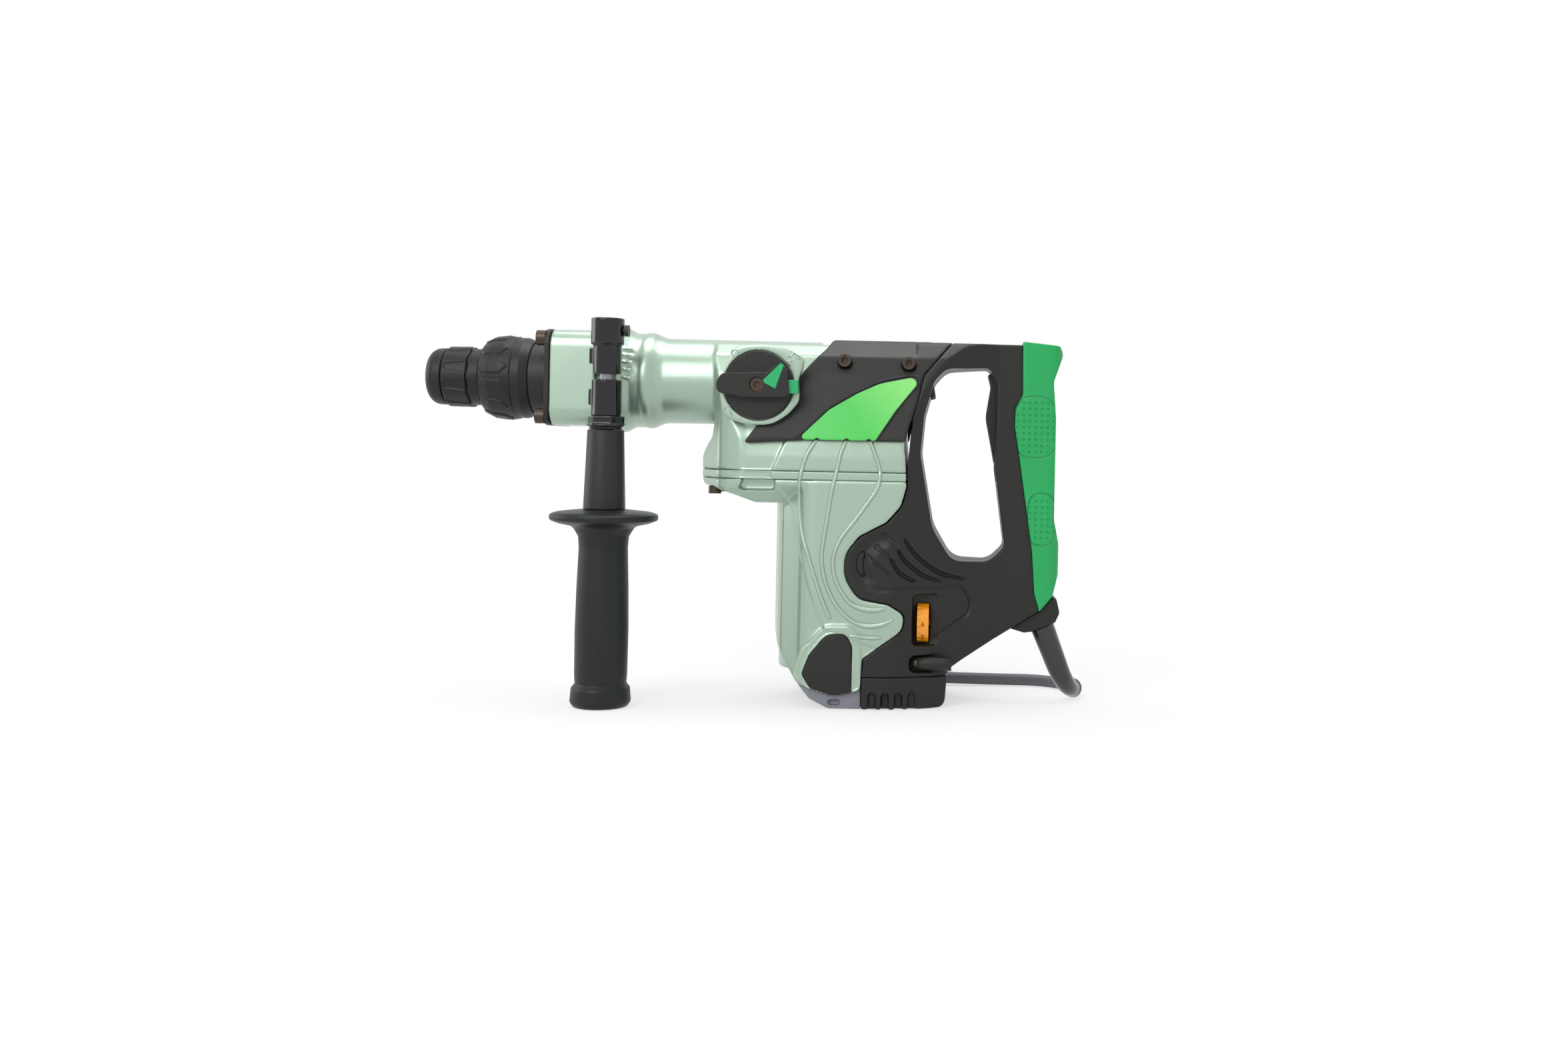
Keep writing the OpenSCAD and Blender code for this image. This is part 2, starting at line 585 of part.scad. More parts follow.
module upper_cover() color("#26282a") difference() {
    intersection() {
        side_slab(cover_outline(), -60, 60);
        union() {
            intersection() {
                front_slab(case_section(cover_t), crank_x - 60, crank_x + 96);
                plan_slab(cover_plan(case_half + cover_t), -100, 60);
            }
            // the tail that runs into the handle
            intersection() {
                front_slab(handle_section(), crank_x + 79.2, crank_x + 102);
                plan_slab(handle_plan(), -100, 60);
            }
        }
    }
    front_slab(case_section(seam), crank_x - 81, crank_x + 79.2);
    turned([[crank_x - 60, 0], [crank_x - 60, barrel_r + 0.2], [cover_x - 3.8, barrel_r - 0.2],
        [cover_x - 3.8, 0]]);
    at_lever() rod_y(-60, 0, knob_r + 3.3);
    both_sides() at_cover_screws() {
        rod_y(-50, -31.4, 5);
        rod_y(-50, -20, 2.6);
    }
}

function badge_outline() = rounded(at_x(crank_x, [[5, -37, 2], [24, -18, 0], [42, -7, 30],
    [56, -0.5, 30], [77, 4, 4],
    [80, 0, 3], [66, -18, 30], [54, -37, 2]]));
module badge_plates() color("#5ed36a") both_sides() difference() {
    intersection() {
        side_slab(badge_outline(), -60, -20);
        front_slab(case_section(cover_t + badge_t), crank_x - 30, crank_x + 100);
    }
    front_slab(case_section(cover_t), crank_x - 31, crank_x + 101);
    for (d = [17.3, 36, 50]) translate([crank_x + d, 0, -37.6]) rod_y(-60, 0, 1.8);
}

// handle
function opening() = at_x(crank_x, [[90.5, 2, 6], [98, 10.5, 10], [126, 12, 4], [131, 3, 3], [131, -54, 10],
    [138, -104, 6], [128, -114, 12], [104, -113.5, 12], [91, -92, 24], [82.5, -45, 24], [84.5, -20, 10]]);
function handle_outer() = at_x(crank_x, [[101.9, 27.8, 0], [172, 27.6, 2], [174.4, 22, 3], [168, 4, 10],
    [170, -20, 16],
    [170, -86, 10], [173.5, -102, 8], [173.5, -122, 8], [170, -136, 6], [160, -146.5, 2], [143, -157.5, 2],
    [104.5, -182, 4], [101.5, -186.5, 3]]);
function left_edge() = at_x(crank_x, [[48.2, -186.5, 0], [48.8, -175, 0], [52.4, -172.5, 0],
    [73.4, -157, 10],
    [75, -147, 6], [64.4, -140.1, 6], [45.4, -137.1, 12], [36.4, -124, 16], [36.4, -109, 16],
        [45.6, -97.9, 10],
    [62.6, -88.9, 8], [71.6, -78.1, 12], [plate_back + 0.7, -66, 0], [plate_back + 0.5, mid_top, 0],
        [72.4, -36, 8], [79.4, 4, 8], [84.4, 6, 0]]);
// the handle seen from above
function handle_plan() = rounded([[crank_x + 30, -can_r + 0.5, 0], [crank_x + 66, -can_r + 0.5, 8],
    [crank_x + 90, -36, 10],
    [crank_x + 112, -22, 14], [crank_x + 132, -grip_half, 8], [crank_x + 180, -grip_half, 0], [crank_x +
        180, grip_half, 0],
    [crank_x + 132, grip_half, 8], [crank_x + 112, 22, 14], [crank_x + 90, 36, 10], [crank_x +
        66, can_r - 0.5, 8],
    [crank_x + 30, can_r - 0.5, 0]]);
function grip_outline() = rounded(at_x(crank_x, [[147.5, 30, 0], [172.2, 27.6, 2], [174.6, 22, 3],
    [168.2, 4, 10],
    [170.2, -20, 16], [170.2, -86, 10], [173.7, -102, 8], [173.7, -122, 8], [170.2, -136, 6],
        [161.6, -146.2, 0],
    [158, -134, 0], [156, -107, 0], [146, -42, 0], [143.2, -26, 6], [143.2, -14, 6], [148, -5, 3]]));
// rear wall of the core under the grip cover
function core_outline() = rounded(at_x(crank_x, [[130, 29, 0], [172 - grip_t, 27.6 - grip_t, 2],
    [171.4 - grip_t, 22, 3],
    [165, 4, 10], [167 - grip_t + 3, -20, 16], [167, -86, 10], [170.4, -102, 8], [170.4, -122, 8],
        [167, -134, 6],
    [158.5, -143.2, 2], [150, -143.2, 0], [140, -100, 0], [128, -20, 0]]));

// the handle seen from the front
function handle_section() = rounded([[-20, 28, 8], [20, 28, 8], [30, 17, 6], [36, 5, 8], [can_r, -38, 8],
    [can_r, -300, 0], [-can_r, -300, 0], [-can_r, -38, 8], [-36, 5, 8], [-30, 17, 6]]);

module handle_body() difference() {
    intersection() {
        side_slab(rounded(concat(left_edge(), handle_outer())), -60, 60);
        plan_slab(handle_plan(), -300, 60);
        front_slab(handle_section(), crank_x, crank_x + 200);
    }
    side_slab(rounded(opening()), -61, 61);
    // the motor can, the crank case and the upper cover
    translate([motor_x, 0, 0]) rod_z(floor_z, 0, can_r - 2.4);
    side_slab(rounded(at_x(crank_x, [[0, 30, 0], [79.2, 30, 0], [79.2, 4, 0], [plate_back +
        0.3, mid_top, 0],
        [plate_back + 0.3, mid_bottom, 0], [0, mid_bottom, 0]])), -60, 60);
    upper_cover_space();
    // under the grip cover only the core stays
    difference() {
        side_slab(grip_outline(), -61, 61);
        side_slab(core_outline(), -grip_half + grip_t, grip_half - grip_t);
    }
    // rooms for trigger and switch, for the speed controller and behind the motor
    box([crank_x + 123, crank_x + 156], [-9, 9], [-62, 9.5]);
    box([crank_x + 84, crank_x + 104], [-20, 20], [low(-177), low(-128)]);
    // recess of the speed dial, with the dial's own slot and the hole of its spindle
    side_slab(rounded(at_x(crank_x, [[79.5, -167, 3], [96.5, -167, 3], [96.5, -134, 3],
        [79.5, -134, 3]])), -60, -31);
    translate([crank_x, dial_y, dial_z]) {
        rod_x(dial_x - 0.6, dial_x + dial_w + 0.6, dial_r + 0.6);
        rod_x(dial_x, dial_x + dial_w + 5, 2 + run);
    }
    // hinge pin of the trigger
    translate([trigger_pin.x, 0, trigger_pin.y]) rod_y(-11, 11, 2 + run);
    both_sides() {
        side_slab(rounded(at_x(crank_x, [[78, -184, 4], [110, -184, 0], [110, -173, 0], [78, -173, 4]])),
            -60, -33);
        for (i = [0:2]) translate([crank_x + 60 - i * 5, 0, -96 - i * 7])
            rotate([0, 38, 0]) box([0, 26], [-60, -can_r + 2], [-0.9, 0.9]);
    }
}
module upper_cover_space() intersection() {
    side_slab(cover_outline(), -61, 61);
    box([crank_x, crank_x + 102.1], [-61, 61], [-38, 60]);
}

module handle_half_left() color("#2b2c2d") intersection() {
    handle_body();
    box([0, 600], [-100, 0], [-400, 100]);
}
module handle_half_right() color("#2b2c2d") intersection() {
    handle_body();
    box([0, 600], [0, 100], [-400, 100]);
}

module grip_cover() color("#2fae68") difference() {
    intersection() {
        side_slab(grip_outline(), -grip_half, grip_half);
        plan_slab(rounded([[crank_x + 130, -grip_half, 0], [crank_x + 174.6, -grip_half, 9],
            [crank_x + 174.6, grip_half, 9], [crank_x + 130, grip_half, 0]]), -200, 60);
    }
    side_slab(core_outline(), -grip_half + grip_t - seam, grip_half - grip_t + seam);
}

module trigger() color("#232425") {
    side_slab(rounded(at_x(crank_x, [[125.2, 8.6, 1], [127.4, 0, 6], [124.4, -20, 20], [130.6, -51, 2],
        [134.5, -51, 1],
        [137, -20, 20], [137, 8.6, 2]])), -trigger_half, trigger_half);
    translate([trigger_pin.x, 0, trigger_pin.y]) rod_y(-10.8, 10.8, 2);
}

module switch_unit() color("#3b3d40") {
    box([crank_x + 142, crank_x + 155.9], [-8.9, 8.9], [-48, 4]);
    for (s = [-1, 1]) box([crank_x + 146, crank_x + 152], [s * 4 - 1.5, s * 4 + 1.5], [-56, -47.9]);
}

module speed_dial() color("#f29a1c") translate([crank_x, dial_y, dial_z]) difference() {
    union() {
        rod_x(dial_x, dial_x + dial_w, dial_r);
        rod_x(dial_x + dial_w - 0.1, dial_x + dial_w + 4.6, 2);
    }
    for (i = [0:17]) rotate([i * 20, 0, 0]) translate([0, 0, dial_r + 0.5]) rod_x(dial_x - 1, dial_x +
        2.2, 1.1);
}

module speed_controller() color("#2c5a3c") {
    box([crank_x + 93, crank_x + 95], [-20 + seam, 20 - seam], [low(-177) + seam, low(-128) - seam]);
    box([crank_x + 94.9, crank_x + 103], [-14, 14], [low(-171), low(-136)]);
}

module tail_cover() color("#26282a") difference() {
    intersection() {
        side_slab(rounded(at_x(crank_x, [[48, -207, 1], [101, -207, 5], [102.4, -186.6, 1],
            [48.4, -186.6, 0]])), -60, 60);
        plan_slab(handle_plan(), -300, 0);
    }
    box([crank_x + 53, crank_x + 96], [-28, 28], [floor_z + 3, base_top + 1]);
    both_sides() for (i = [0:3]) side_slab(rounded(at_x(crank_x + 54.9 + i * 8.4, [[-2.4, -208, 0],
        [2.4, -208, 0], [2.4, -196.5, 2.3], [-2.4, -196.5, 2.3]])), -60, -can_r + 3 + i * 1.5);
}

// impact mechanism
piston_back = crank_x + crank_e - rod_len + 10;
pin_x = crank_x + crank_e - rod_len;
module impact_bolt() color("#9a9da0") {
    rod_x(socket_depth + 2, socket_depth + 20, socket_r - 0.05);
    rod_x(socket_depth + 18.5, socket_depth + 31, 12.05);
    rod_x(socket_depth + 30.9, socket_depth + 47, 8.5);
}

module striker() color("#85888b") difference() {
    union() {
        rod_x(holder_end + 2, holder_end + 14, 8);
        rod_x(holder_end + 13, holder_end + 36, bore_r - run);
    }
    for (d = [18, 30]) translate([holder_end + d, 0, 0]) tube_x(0, 2.4, bore_r - 1.4, bore_r + 1);
}

module cylinder_tube() color("#8d9094") difference() {
    union() {
        rod_x(holder_end - 17, holder_end + 4, 19.6);
        rod_x(holder_end, crank_x - 30.5, cylinder_r);
    }
    rod_x(holder_end - 18, holder_end, holder_r + seam);
    rod_x(holder_end - 1, crank_x, bore_r);
}

module crown_gear() color("#6f7275") {
    tube_x(crown_x - 9, crown_x - 1.9, cylinder_r + seam, 23.3);
    for (i = [0:crown_teeth - 1]) rotate([i * 360 / crown_teeth, 0, 0]) translate([crown_x, 0, -23.2])
        linear_extrude(4.9) polygon([[-2, -1.3], [1.2, -0.6], [1.2, 0.6], [-2, 1.3]]);
}

module piston() color("#b4b7ba") difference() {
    rod_x(piston_back - piston_len, piston_back, bore_r - run);
    box([pin_x - 8, piston_back + 1], [-9, 9], [-5.2, 5.2]);
    translate([pin_x, 0, 0]) rod_z(-20, 20, 3.5 + seam / 2);
    for (d = [5, 11]) translate([piston_back - piston_len + d, 0, 0]) tube_x(0, 2, bore_r - 1.2, bore_r +
        1);
}

module gudgeon_pin() color("#d0d2d4") translate([pin_x, 0, 0]) rod_z(-12.6, 12.6, 3.5);

module connecting_rod() color("#8d9094") difference() {
    union() {
        translate([pin_x, 0, 0]) rod_z(-5, 5, 6.5);
        translate([pin_x + rod_len, 0, 0]) rod_z(-4, 4, 10);
        box([pin_x + 4, pin_x + rod_len - 6], [-3.8, 3.8], [-3.5, 3.5]);
    }
    translate([pin_x, 0, 0]) rod_z(-20, 20, 3.5 + run);
    translate([pin_x + rod_len, 0, 0]) rod_z(-20, 20, 6.05);
}

module crank() color("#75787b") translate([crank_x, 0, 0]) {
    rod_z(mid_top - 2.4, -15.9, 8);
    rod_z(-16, -8, 20.5);
    translate([crank_e, 0, 0]) rod_z(-8.1, -4.6, 6);
    translate([0, 0, gear_top - gear_w]) linear_extrude(gear_w) polygon(gear_outline(crank_teeth));
}

module gear_bearings() color("#c4c6c8") {
    translate([crank_x, 0, 0]) {
        tube_z(web_bottom, web_top, 8 + run, 17);
        tube_z(mid_top - 2.5, gear_top - gear_w - 0.4, 8 + run, 13);
    }
    translate([counter_x, 0, 0]) {
        tube_z(web_bottom, web_top, 5 + run, 13);
        tube_z(mid_top - 2.5, gear_top - gear_w - 0.4, 5 + run, 10);
    }
}

module countershaft() color("#75787b") translate([counter_x, 0, 0]) {
    rod_z(mid_top - 2.4, -24, 5);
    translate([0, 0, gear_top - gear_w]) linear_extrude(gear_w)
        rotate(crank_teeth % 2 == 0 ? 180 / counter_teeth : 0) polygon(gear_outline(counter_teeth));
    translate([0, 0, -24.5]) linear_extrude(6.7) rotate(180 / counter_pinion_teeth)
        polygon(gear_outline(counter_pinion_teeth));
}

// motor
module armature() color("#a87c4a") translate([motor_x, 0, 0]) {
    rod_z(floor_z + 15, mid_bottom + 1, 5);
    rod_z(mid_bottom, gear_top - gear_w + 1, 4);
    translate([0, 0, gear_top - gear_w - 1]) linear_extrude(gear_w + 2)
        rotate(motor_teeth % 2 == 0 ? 180 / motor_teeth : 0) polygon(gear_outline(motor_teeth));
    difference() {
        rod_z(stack_bottom, stack_top, core_r);
        for (i = [0:11]) rotate(i * 30) box([core_r - 2, core_r + 1], [-1.2, 1.2],
            [stack_bottom - 1, stack_top + 1]);
    }
    rod_z(stack_top - 0.1, stack_top + 6, core_r - 3);
    rod_z(stack_bottom - 6, stack_bottom + 0.1, core_r - 3);
}

module commutator() color("#c98a4b") translate([motor_x, 0, 0]) difference() {
    tube_z(brush_z - 9, brush_z + 9, 5 + seam, 15);
    for (i = [0:23]) rotate(i * 15) box([14.2, 16], [-0.3, 0.3], [brush_z - 10, brush_z + 10]);
}

module fan() color("#3c3f44") translate([motor_x, 0, 0]) {
    tube_z(fan_z, fan_z + 10, 5 + seam, 9);
    tube_z(fan_z + 8.5, fan_z + 10, 8.9, 35);
    for (i = [0:11]) rotate(i * 30) box([14, 34], [-0.7, 0.7], [fan_z, fan_z + 8.6]);
}

module motor_bearings() color("#c4c6c8") translate([motor_x, 0, 0]) {
    tube_z(-75, -64, 5 + run, 13);
    tube_z(floor_z + 15, floor_z + 23.6, 5 + run, 11);
}

module stator() color("#5c5f63") translate([motor_x, 0, 0]) difference() {
    tube_z(stack_bottom, stack_top, core_r + air_gap, stator_r);
    for (s = [-1, 1], k = [-1, 1]) rotate(s * 52 + (k > 0 ? 180 : 0))
        box([core_r - 1, stator_r - 5], [-5, 5], [stack_bottom - 1, stack_top + 1]);
}

module field_coils() color("#b8733a") translate([motor_x, 0, 0]) for (s = [-1, 1], k = [-1, 1])
    rotate(s * 52 + (k > 0 ? 180 : 0)) box([stator_r - 5.2 - coil_t, stator_r - 5.2], [-4.8, 4.8],
        [stack_bottom - 4, stack_top + 4]);

module brush_holders() color("#b08d3e") both_sides() translate([motor_x, 0, brush_z]) difference() {
    union() {
        rod_y(-can_r + 2.6, -can_r + can_wall + 5, 8.9);
        box([-5.5, 5.5], [-can_r + can_wall + 4.9 - 0.1, -17], [-6.5, 6.5]);
    }
    box([-3.6, 3.6], [-60, 0], [-4.6, 4.6]);
}

module carbon_brushes() color("#222222") both_sides() translate([motor_x, 0, brush_z])
    box([-3.5, 3.5], [-34, -15.06], [-4.5, 4.5]);

// cord
cord_r = cord_d / 2;
// The guard leaves the gland at guard_in and bends down to the floor, away from the side handle.
guard_in = [crank_x + 164.7, 0, low(-156.95)];
guard_tilt = 68;                          // slope of its straight part
guard_bend = 20;                          // radius of its bend
guard_lift = 6.7;                         // height of its end above the floor
guard_away = 17.5;                        // heading of its end, from +Y towards +X
guard_dir = [cos(guard_tilt), 0, -sin(guard_tilt)];
floor_dir = [sin(guard_away), cos(guard_away), 0];
guard_turn = acos(guard_dir * floor_dir);
guard_side = unit(floor_dir - cos(guard_turn) * guard_dir);
function bent(t) = guard_bend * (sin(t) * guard_dir + (1 - cos(t)) * guard_side);
guard_run = (floor_z + guard_lift - bent(guard_turn).z - guard_in.z) / guard_dir.z;
guard_knee = guard_in + guard_run * guard_dir;
guard_route = concat([for (i = [0:3]) guard_in + guard_run * guard_dir * i / 4],
    [for (i = [0:6]) guard_knee + bent(guard_turn * i / 6)]);
guard_end = guard_knee + bent(guard_turn);
function smooth(t) = let (k = min(max(t, 0), 1)) k * k * (3 - 2 * k);

// the cord turns back over the floor behind the motor and runs into the coil
lead_turn = 34;                           // radius of that turn
lead_centre = [guard_end.x - lead_turn * floor_dir.y, guard_end.y + lead_turn * floor_dir.x];
coil_front = 57;                          // y of the coil's foremost turn
coil_rest = 1.4;                          // its height above the floor
coil_step = cord_d + 0.6;                 // distance of neighbouring turns
coil_mean = 5.05 * cord_d;                // radius at the middle of the turns
coil_out = coil_mean + coil_step;
coil_at = [crank_x + 48.7, coil_front + coil_out];
coil_z = floor_z + cord_r + coil_rest;
lead_route = concat([for (i = [0:9]) let (a = (90 + guard_away) * i / 9 - guard_away)
        [lead_centre.x + lead_turn * cos(a), lead_centre.y + lead_turn * sin(a),
         guard_end.z + (floor_z + cord_r - guard_end.z) * smooth(i / 3)]],
    [for (i = [1:6]) let (k = i / 6, from = lead_centre.y + lead_turn)
        [lead_centre.x + (coil_at.x + 10 - lead_centre.x) * k, from + (coil_front - from) * smooth(k),
         floor_z + cord_r + coil_rest * smooth(k)]]);
function climb(s, at, half) = smooth((s - at + half) / (2 * half));
function coil_radius(s) = let (m = s % 4) coil_out - coil_step * (m < 2 ? m : 4 - m);
function coil_level(s) = coil_z + coil_step * (climb(s, 2, 0.25) + climb(s, 4, 0.25) + climb(s, 6,
    0.25) + climb(s, 7.9, 0.2));
function coil_point(s) = let (a = -90 - 360 * s, r = coil_radius(s)) [coil_at.x + r * cos(a), coil_at.y +
    r * sin(a), coil_level(s)];
tail_r = 34;
plug_rise = 4.9;
function tail_point(a) = let (l = a * PI / 180 * tail_r)
    [coil_at.x + tail_r * cos(-90 - a), coil_at.y - coil_out + tail_r + tail_r * sin(-90 - a),
     coil_level(8 + l / (2 * PI * coil_out)) + plug_rise * smooth((l - 8) / 52)];
tail_turn = 110;
plug_at = tail_point(tail_turn) + 9 * [cos(180 - tail_turn), sin(180 - tail_turn), 0];
coil_route = concat([for (d = [10, 5]) [coil_at.x + d, coil_front, coil_z]], [for (i = [0:191])
    coil_point(i / 24)],
    [for (i = [0:10]) tail_point(i * tail_turn / 10)], [plug_at]);
coil_gap = min([for (i = [0:len(coil_route) - 1]) for (j = [i + 9:1:len(coil_route) - 1])
    norm(coil_route[i] - coil_route[j])]) - cord_d;
echo(coil_gap = coil_gap);

function tangent(p, i) = unit(p[min(i + 1, len(p) - 1)] - p[max(i - 1, 0)]);
// a tube along a route; side is a direction that the route never takes
module swept(route, radii, sides, side) {
    n = len(route);
    points = [for (i = [0:n - 1]) let (t = tangent(route, i), u = unit(cross(side, t)), v = cross(t, u))
        for (k = [0:sides - 1]) route[i] + radii[i] * (u * cos(360 * k / sides) + v * sin(360 *
            k / sides))];
    wall = [for (i = [0:n - 2]) for (k = [0:sides - 1]) let (a = i * sides + k, b = i * sides + (k +
        1) % sides)
        each [[a, a + sides, b], [b, a + sides, b + sides]]];
    polyhedron(points, concat(wall, [[for (k = [0:sides - 1]) k]], [[for (k = [sides - 1:-1:0]) (n - 1) *
        sides + k]]));
}

module cord_gland() color("#202122") difference() {
    side_slab(rounded(at_x(crank_x, [[143.2, -157.9, 0], [160.1, -146.9, 0], [161.8, -146.6, 0],
        [170.5, -136.5, 0],
        [173.2, -138, 1], [175.4, -147, 3], [172.6, -153.4, 0], [156.8, -159.9, 0], [152, -160.4, 1]])),
            -12, 12);
}

module cord_guard() color("#17181a")
    swept(guard_route, [for (i = [0:len(guard_route) - 1]) 8 - 0.25 * i], 12, [1, 0, 0]);
module cord_lead() color("#8f9298") swept(lead_route, [for (p = lead_route) cord_r], 8, [0, 0, 1]);
module cord_coil() color("#8f9298") swept(coil_route, [for (p = coil_route) cord_r], 6, [0, 0, 1]);
module cord_tie() color("#1b1c1e") {
    r = coil_mean;
    w = coil_step * 0.62 + cord_r + 0.4;
    top = coil_z + 3 * coil_step + cord_r + 0.4;
    translate([coil_at.x, coil_at.y, 0]) rotate(-40) translate([0, r, 0]) difference() {
        box([-4.5, 4.5], [-w - 0.9, w + 0.9], [floor_z + 0.1, top + 0.9]);
        box([-5, 5], [-w, w], [floor_z + 1, top]);
    }
}
module cord_plug() color("#1b1c1e") translate(plug_at) rotate([0, 90, 180 - tail_turn]) {
    intersection() {
        union() {
            cylinder(h = 24, r1 = 6.5, r2 = 9);
            translate([0, 0, 24]) cylinder(h = 6, r1 = 9, r2 = 18);
            translate([0, 0, 30]) cylinder(h = 16, r = 18);
        }
        translate([-8.8, -30, -1]) cube([17.6, 60, 60]);
    }
    for (s = [-1, 1]) translate([0, s * 9.5, 45.9]) cylinder(h = 19, r = 2.4);
}

nose_cap();
front_ring();
locking_sleeve();
tool_holder();
lock_rollers();
sleeve_spring();
front_cover();
cover_screws();
oil_seal();
front_bearing();
gear_housing();
clamp_band();
clamp_bolt();
clamp_nut();
stop_screw();
side_handle_core();
side_grip();
mode_knob();
mode_pointer();
knob_screw();
lock_button();
intermediate_plate();
body_screws();
motor_housing();
vent_skirt();
brush_covers();
upper_cover();
badge_plates();
handle_half_left();
handle_half_right();
grip_cover();
trigger();
switch_unit();
speed_dial();
speed_controller();
tail_cover();
impact_bolt();
striker();
cylinder_tube();
crown_gear();
piston();
gudgeon_pin();
connecting_rod();
crank();
gear_bearings();
countershaft();
armature();
commutator();
fan();
motor_bearings();
stator();
field_coils();
brush_holders();
carbon_brushes();
cord_gland();
cord_guard();
cord_lead();
cord_coil();
cord_tie();
cord_plug();
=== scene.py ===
import bpy
import bmesh
import json
import math
import numpy as np
from mathutils import Matrix, Vector
from mathutils.bvhtree import BVHTree


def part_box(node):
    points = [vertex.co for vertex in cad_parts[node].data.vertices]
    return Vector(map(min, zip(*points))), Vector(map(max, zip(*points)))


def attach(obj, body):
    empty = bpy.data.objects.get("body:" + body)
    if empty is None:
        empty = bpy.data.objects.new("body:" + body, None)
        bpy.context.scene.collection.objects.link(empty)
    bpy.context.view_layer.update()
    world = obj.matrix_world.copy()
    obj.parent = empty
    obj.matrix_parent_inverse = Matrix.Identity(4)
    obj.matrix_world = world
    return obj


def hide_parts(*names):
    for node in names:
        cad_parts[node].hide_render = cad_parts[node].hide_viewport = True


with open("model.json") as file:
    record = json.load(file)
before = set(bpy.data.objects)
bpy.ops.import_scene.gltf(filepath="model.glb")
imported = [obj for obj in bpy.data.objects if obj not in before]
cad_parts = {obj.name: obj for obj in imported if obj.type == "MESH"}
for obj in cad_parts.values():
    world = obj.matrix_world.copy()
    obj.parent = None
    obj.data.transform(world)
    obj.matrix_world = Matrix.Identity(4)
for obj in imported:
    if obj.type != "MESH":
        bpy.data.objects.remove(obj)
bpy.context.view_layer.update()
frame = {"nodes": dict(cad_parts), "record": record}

mm = 0.001


def middle(node):
    low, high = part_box(node)
    return (low + high) / 2


def tint(code):
    # linear colour of a hex code
    parts = [int(code[i:i + 2], 16) / 255 for i in (1, 3, 5)]
    return tuple(p / 12.92 if p <= 0.04045 else ((p + 0.055) / 1.055) ** 2.4 for p in parts) + (1,)


# places that the pieces share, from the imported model, in millimetres
crankX = middle("crank").x / mm
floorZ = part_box("tail_cover")[0].z / mm
leverX, leverZ = middle("knob_screw").x / mm, middle("knob_screw").z / mm
handleX, handleY = middle("clamp_bolt").x / mm, middle("clamp_bolt").y / mm
print("frame loaded")

# one socket: sums and products on it add Math nodes
class Signal:
    def __init__(self, finish, socket):
        self.finish = finish
        self.socket = socket

    def math(self, operation, other, swapped=False):
        first, second = (other, self) if swapped else (self, other)
        return self.finish.node("ShaderNodeMath", {"operation": operation}, {0: first, 1: second})

    def __add__(self, other):
        return self.math("ADD", other)

    def __radd__(self, other):
        return self.math("ADD", other, True)

    def __sub__(self, other):
        return self.math("SUBTRACT", other)

    def __rsub__(self, other):
        return self.math("SUBTRACT", other, True)

    def __mul__(self, other):
        return self.math("MULTIPLY", other)

    def __rmul__(self, other):
        return self.math("MULTIPLY", other, True)

    def __truediv__(self, other):
        return self.math("DIVIDE", other)

    def __rtruediv__(self, other):
        return self.math("DIVIDE", other, True)

    def __pow__(self, other):
        return self.math("POWER", other)


# a material with its node tree
class Finish:
    def __init__(self, name):
        self.material = bpy.data.materials.new(name)
        self.material.use_nodes = True
        self.tree = self.material.node_tree
        self.tree.nodes.clear()
        self.output = self.tree.nodes.new("ShaderNodeOutputMaterial")

    def node(self, kind, settings=None, inputs=None, out=0):
        new = self.tree.nodes.new(kind)
        for key, value in (settings or {}).items():
            if key == "stops":
                for spare in range(len(value) - 2):
                    new.color_ramp.elements.new(0.5)
                for element, (at, colour) in zip(new.color_ramp.elements, value):
                    element.position = at
                    element.color = colour
            else:
                setattr(new, key, value)
        for key, value in (inputs or {}).items():
            if isinstance(value, Signal):
                self.tree.links.new(value.socket, new.inputs[key])
            else:
                new.inputs[key].default_value = value
        return Signal(self, new.outputs[out])

    def mix(self, factor, a, b):
        return self.node("ShaderNodeMix", {"data_type": "RGBA"}, {0: factor, 6: a, 7: b}, 2)

    def noise(self, scale, detail=2, at=None):
        inputs = {"Scale": scale, "Detail": detail}
        inputs["Vector"] = at or self.node("ShaderNodeTexCoord", out=3)
        return self.node("ShaderNodeTexNoise", None, inputs)

    def surface(self, shader):
        self.tree.links.new(shader.socket, self.output.inputs["Surface"])
        return self.material


# camera, floor and light: metres in the frame, the lens in millimetres and the roll in degrees
eye = {"x": 0.3419, "distance": 0.940, "z": -0.0395, "lens": 32.56,
       "shiftX": -0.1037, "shiftY": -0.0485, "roll": 1.2}
lens = bpy.data.cameras.new("viewer")
lens.lens = eye["lens"]
lens.shift_x = eye["shiftX"]
lens.shift_y = eye["shiftY"]
lens.clip_start = 0.01
viewer = bpy.data.objects.new("viewer", lens)
viewer.location = (eye["x"], -eye["distance"], eye["z"])
viewer.rotation_euler = (math.radians(90), -math.radians(eye["roll"]), 0)
bpy.context.scene.collection.objects.link(viewer)
bpy.context.scene.camera = viewer
bpy.context.scene.view_settings.view_transform = "Standard"

room = {"floor": 6.0, "floorShade": 0.86, "near": 0.45, "spread": 1.6, "dim": 0.1, "bright": 0.66,
        "lamps": [("front", (-0.35, -1.3, 0.75), 0.9, 11), ("top", (0.2, 0.1, 1.2), 0.8, 9),
                  ("left", (-1.1, 0.1, 0.25), 0.7, 3.5)]}


def seenDirectly(finish):
    # 1 where the camera, a mirror or glass looks at the surface
    path = "ShaderNodeLightPath"
    mirrored = finish.node(path, out=3) + finish.node(path, out=6)
    return (finish.node(path, out=0) + mirrored).math("MINIMUM", 1)


